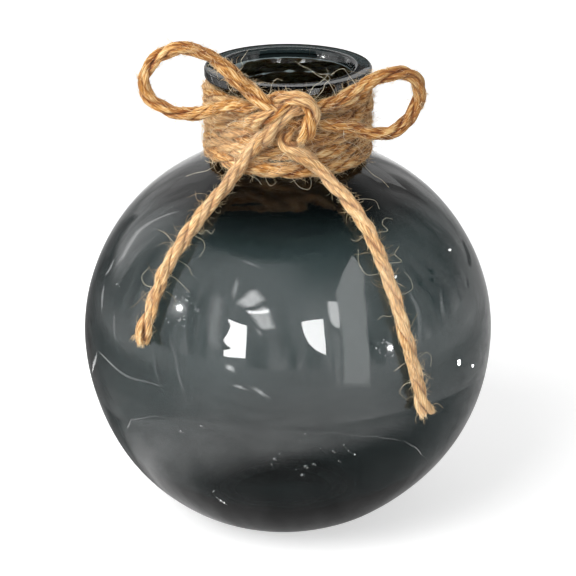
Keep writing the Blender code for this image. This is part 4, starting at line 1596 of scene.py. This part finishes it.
# Windows, lamps and dark corners of the room, by strength, soft edge, and where the ball mirrors both sides
SOFT = 0.38
ROOM = [
    ("window_left", 26.0, 0.06,
     [(229, 319), (231, 327), (229, 333), (225, 340), (229, 346), (233, 348), (225, 350), (225, 357)],
     [(240, 324), (247, 326), (247, 333), (247, 339), (247, 344), (247, 348), (247, 352), (247, 359)]),
    ("window_left_low", 12.0, SOFT, [(225, 365), (226, 373)], [(237, 366), (236, 375)]),
    ("window_left_glow", 3.6, SOFT,
     [(210, 292), (205, 320), (207, 356)], [(225, 286), (226, 320), (224, 356)]),
    ("window_right", 22.0, 0.06, [(300, 322), (303, 333), (308, 344), (316, 352)],
     [(323, 319), (324, 330), (325, 342), (326, 356)]),
    ("curtain_right", 3.7, 0.10, [(352, 253), (342, 272), (334, 293), (341, 330), (343, 388)],
     [(357, 260), (366, 274), (366, 293), (369, 330), (371, 388)]),
    ("curtain_left_part", 2.6, 0.20,
     [(330, 331), (334, 360), (336, 392)], [(341, 331), (342, 360), (343, 392)]),
    ("window_far", 11.0, 0.22, [(325, 301), (326, 310), (328, 320), (334, 327)],
     [(345, 302), (345, 310), (344, 318), (341, 330)]),
    ("glare_high", 4.6, SOFT, [(241, 262), (252, 265)], [(243, 258), (265, 268)]),
    ("glare_side", 5.0, SOFT, [(236, 276), (228, 300)], [(242, 274), (238, 300)]),
    ("glare_upper", 11.0, 0.28, [(235, 303), (248, 309)], [(253, 284), (267, 301)]),
    ("glare_middle", 9.5, 0.25, [(247, 311), (254, 322), (261, 332)], [(266, 303), (273, 315), (277, 330)]),
    ("glare_middle_bright", 24.0, SOFT,
     [(246, 308), (258, 309), (270, 307)], [(247, 313), (260, 314), (271, 313)]),
    ("glare_low", 6.0, SOFT, [(254, 330), (261, 339)], [(258, 328), (265, 337)]),
    ("streak_low", 8.0, SOFT, [(231, 386), (240, 389)], [(238, 383), (252, 392)]),
    ("streak_lower", 7.0, SOFT, [(250, 388), (262, 397)], [(256, 385), (273, 399)]),
    ("lamp_high", 22.0, 0.06, [(394, 276), (394, 279)], [(397, 276), (397, 279)]),
    ("lamp_edge", 40.0, 0.06, [(458, 359), (458, 365)], [(461, 359), (461, 365)]),
    ("lamp_edge_small", 14.0, 0.06, [(472, 364), (472, 367)], [(474, 364), (474, 367)]),
    ("lamp_far_high", 12.0, 0.06, [(448, 248), (448, 250)], [(451, 248), (451, 250)]),
    ("dark_left_high", 0.22, SOFT, [(103, 258), (108, 240), (120, 220), (136, 212)],
     [(108, 262), (117, 245), (127, 232), (141, 214)]),
    ("pale_left_arc", 3.2, SOFT, [(115, 267), (135, 231), (154, 218), (180, 210)],
     [(120, 268), (140, 234), (156, 221), (180, 212)]),
    ("pale_left_line", 2.0, SOFT,
     [(104, 284), (101, 296), (101, 316)], [(105, 284), (104, 296), (102, 316)]),
    ("pale_left_patch", 2.0, SOFT,
     [(114, 312), (112, 326), (115, 344)], [(115, 312), (116, 326), (116, 344)]),
    ("pale_left_leaf", 2.0, SOFT,
     [(105, 275), (109, 268), (114, 259)], [(106, 276), (112, 269), (115, 259)]),
    ("pale_left_stem", 2.9, SOFT,
     [(166, 330), (174, 360), (184, 404)], [(168, 330), (178, 360), (188, 404)]),
    ("pale_left_stem_b", 2.2, SOFT,
     [(150, 335), (152, 360), (160, 390)], [(151, 335), (155, 360), (161, 390)]),
    ("pale_left_bow", 2.6, SOFT, [(98, 352), (110, 365), (125, 376), (145, 383), (166, 389)],
     [(98, 351), (111, 363), (126, 374), (146, 381), (167, 387)]),
    ("pale_left_wedge", 2.0, SOFT, [(97, 352), (93, 362), (92, 374)], [(98, 352), (96, 364), (92, 375)]),
    ("table_line", 2.8, SOFT,
     [(126, 427), (131, 418), (155, 415), (185, 420), (220, 424), (285, 430), (335, 432), (377, 437),
      (402, 441)],
     [(128, 428), (132, 419), (155, 416), (185, 421), (220, 425), (285, 431), (335, 433), (377, 438),
      (402, 442)]),
    ("table_line_end", 2.4, SOFT,
     [(402, 441), (417, 449), (424, 458)], [(402, 442), (416, 450), (422, 458)]),
    ("dark_marks_a", 0.0, SOFT, [(428, 268), (428, 275)], [(436, 268), (436, 275)]),
    ("dark_marks_b", 0.0, SOFT, [(428, 277), (428, 284)], [(435, 277), (435, 284)]),
    ("dark_marks_c", 0.05, SOFT, [(416, 281), (416, 288)], [(423, 281), (423, 288)]),
    ("dark_marks_d", 0.25, SOFT, [(430, 296), (430, 306)], [(437, 296), (437, 306)]),
    ("dark_right_tall", 0.9, 0.20, [(374, 286), (370, 300), (372, 340), (376, 366)],
     [(382, 284), (388, 300), (389, 340), (386, 366)]),
    ("dark_right_arch", 0.45, SOFT,
     [(397, 286), (405, 310), (409, 350)], [(405, 286), (413, 310), (416, 350)]),
    ("pale_right_arc", 2.3, SOFT,
     [(407, 290), (415, 310), (418, 350)], [(410, 289), (421, 310), (423, 350)]),
    ("pale_right_streak", 2.0, SOFT, [(438, 290), (441, 322)], [(442, 290), (446, 322)]),
    ("dark_far_right", 0.15, SOFT,
     [(461, 239), (466, 255), (468, 267)], [(464, 239), (471, 256), (472, 268)]),
    ("dark_far_right_low", 0.35, SOFT, [(466, 277), (466, 289)], [(469, 277), (469, 289)]),
    ("dark_column_left", 0.9, SOFT,
     [(190, 284), (186, 320), (187, 360)], [(200, 278), (199, 320), (196, 366)]),
]
for number, (name, strength, edge, side_a, side_b) in enumerate(ROOM):
    room_card(name, strength, edge, side_a, side_b, 1.0 - 0.002 * number)

# Specks and glints stand nearer than the lamps and the windows
NEAR_CARD = 0.9
SPECKS_FLATNESS = 0.85
SPECK_STRENGTH = (4.0, 11.0)
SPECK_RADIUS = (0.5, 1.0)

# Lamps' glow, by radius in pixels and strength
LAMP_LEFT = [(13.5, 2.1), (10.0, 2.8), (7.2, 4.2), (5.2, 8.0), (3.8, 20.0), (2.4, 90.0)]
LAMP_RIGHT = [(7.0, 2.1), (5.2, 3.6), (3.8, 8.0), (2.8, 24.0), (1.8, 90.0)]


def lamp(name, column, row, rings, dots, reach, seed):
    """A lamp with its glow in rings, and specks round it, as dust on the glass spreads its glare."""
    for i, (radius, strength) in enumerate(rings):
        round_card(f"{name}_glow_{i}", strength, column, row, radius, 1.0 - 0.01 * i)
    rng = np.random.default_rng(seed)
    for i in range(dots):
        away = reach * math.sqrt(rng.uniform(0.05, 1.0))
        turn = rng.uniform(0.0, math.tau)
        place = (column + away * math.cos(turn), row + SPECKS_FLATNESS * away * math.sin(turn))
        strength = rng.uniform(*SPECK_STRENGTH)
        round_card(f"{name}_speck_{i}", strength, *place, rng.uniform(*SPECK_RADIUS), NEAR_CARD)


lamp("lamp_left", 178.5, 307.0, LAMP_LEFT, 60, 22.0, 21)
lamp("lamp_right", 390.5, 348.0, LAMP_RIGHT, 18, 14.0, 22)

# Glints of the seeds
for number, (column, row, radius_mm) in enumerate(SEEDS):
    round_card(f"seed_glint_{number}", 13.0, column - 0.8, row - 0.6, 0.95 * radius_mm, NEAR_CARD)
    round_card(f"seed_glint_low_{number}", 7.0, column + 1.4, row + 1.1, 0.7 * radius_mm, NEAR_CARD)

# A pale screen behind the vase that the front of the rim mirrors, and a dark one in front of and above
# it that keeps the windows out of the mouth
SCREEN_Y = 0.334
SCREEN_X = 0.26
SCREEN_Z = (0.30, 0.44)
FLAG_R = 0.107
FLAG_DEG = 60.0
FLAG_Z = (0.206, 0.224, 0.300)
FLAG_COVER = [0.0, 1.0, 1.0]
FLAG_STEPS = 20
screen_points = [(x, SCREEN_Y, z) for z in SCREEN_Z for x in (-SCREEN_X, SCREEN_X)]
mirror_card("rim_screen", 0.9, screen_points, [(0, 1, 3, 2)])
flag_turns = np.radians(np.linspace(-FLAG_DEG, FLAG_DEG, FLAG_STEPS + 1))
flag_points = [(FLAG_R * math.sin(a), -FLAG_R * math.cos(a), z) for a in flag_turns for z in FLAG_Z]
flag_faces = [(i, i + 1, i + 4, i + 3) for i in range(3 * FLAG_STEPS) if i % 3 < 2]
mirror_card("front_flag", 0.04, flag_points, flag_faces, FLAG_COVER * (FLAG_STEPS + 1))
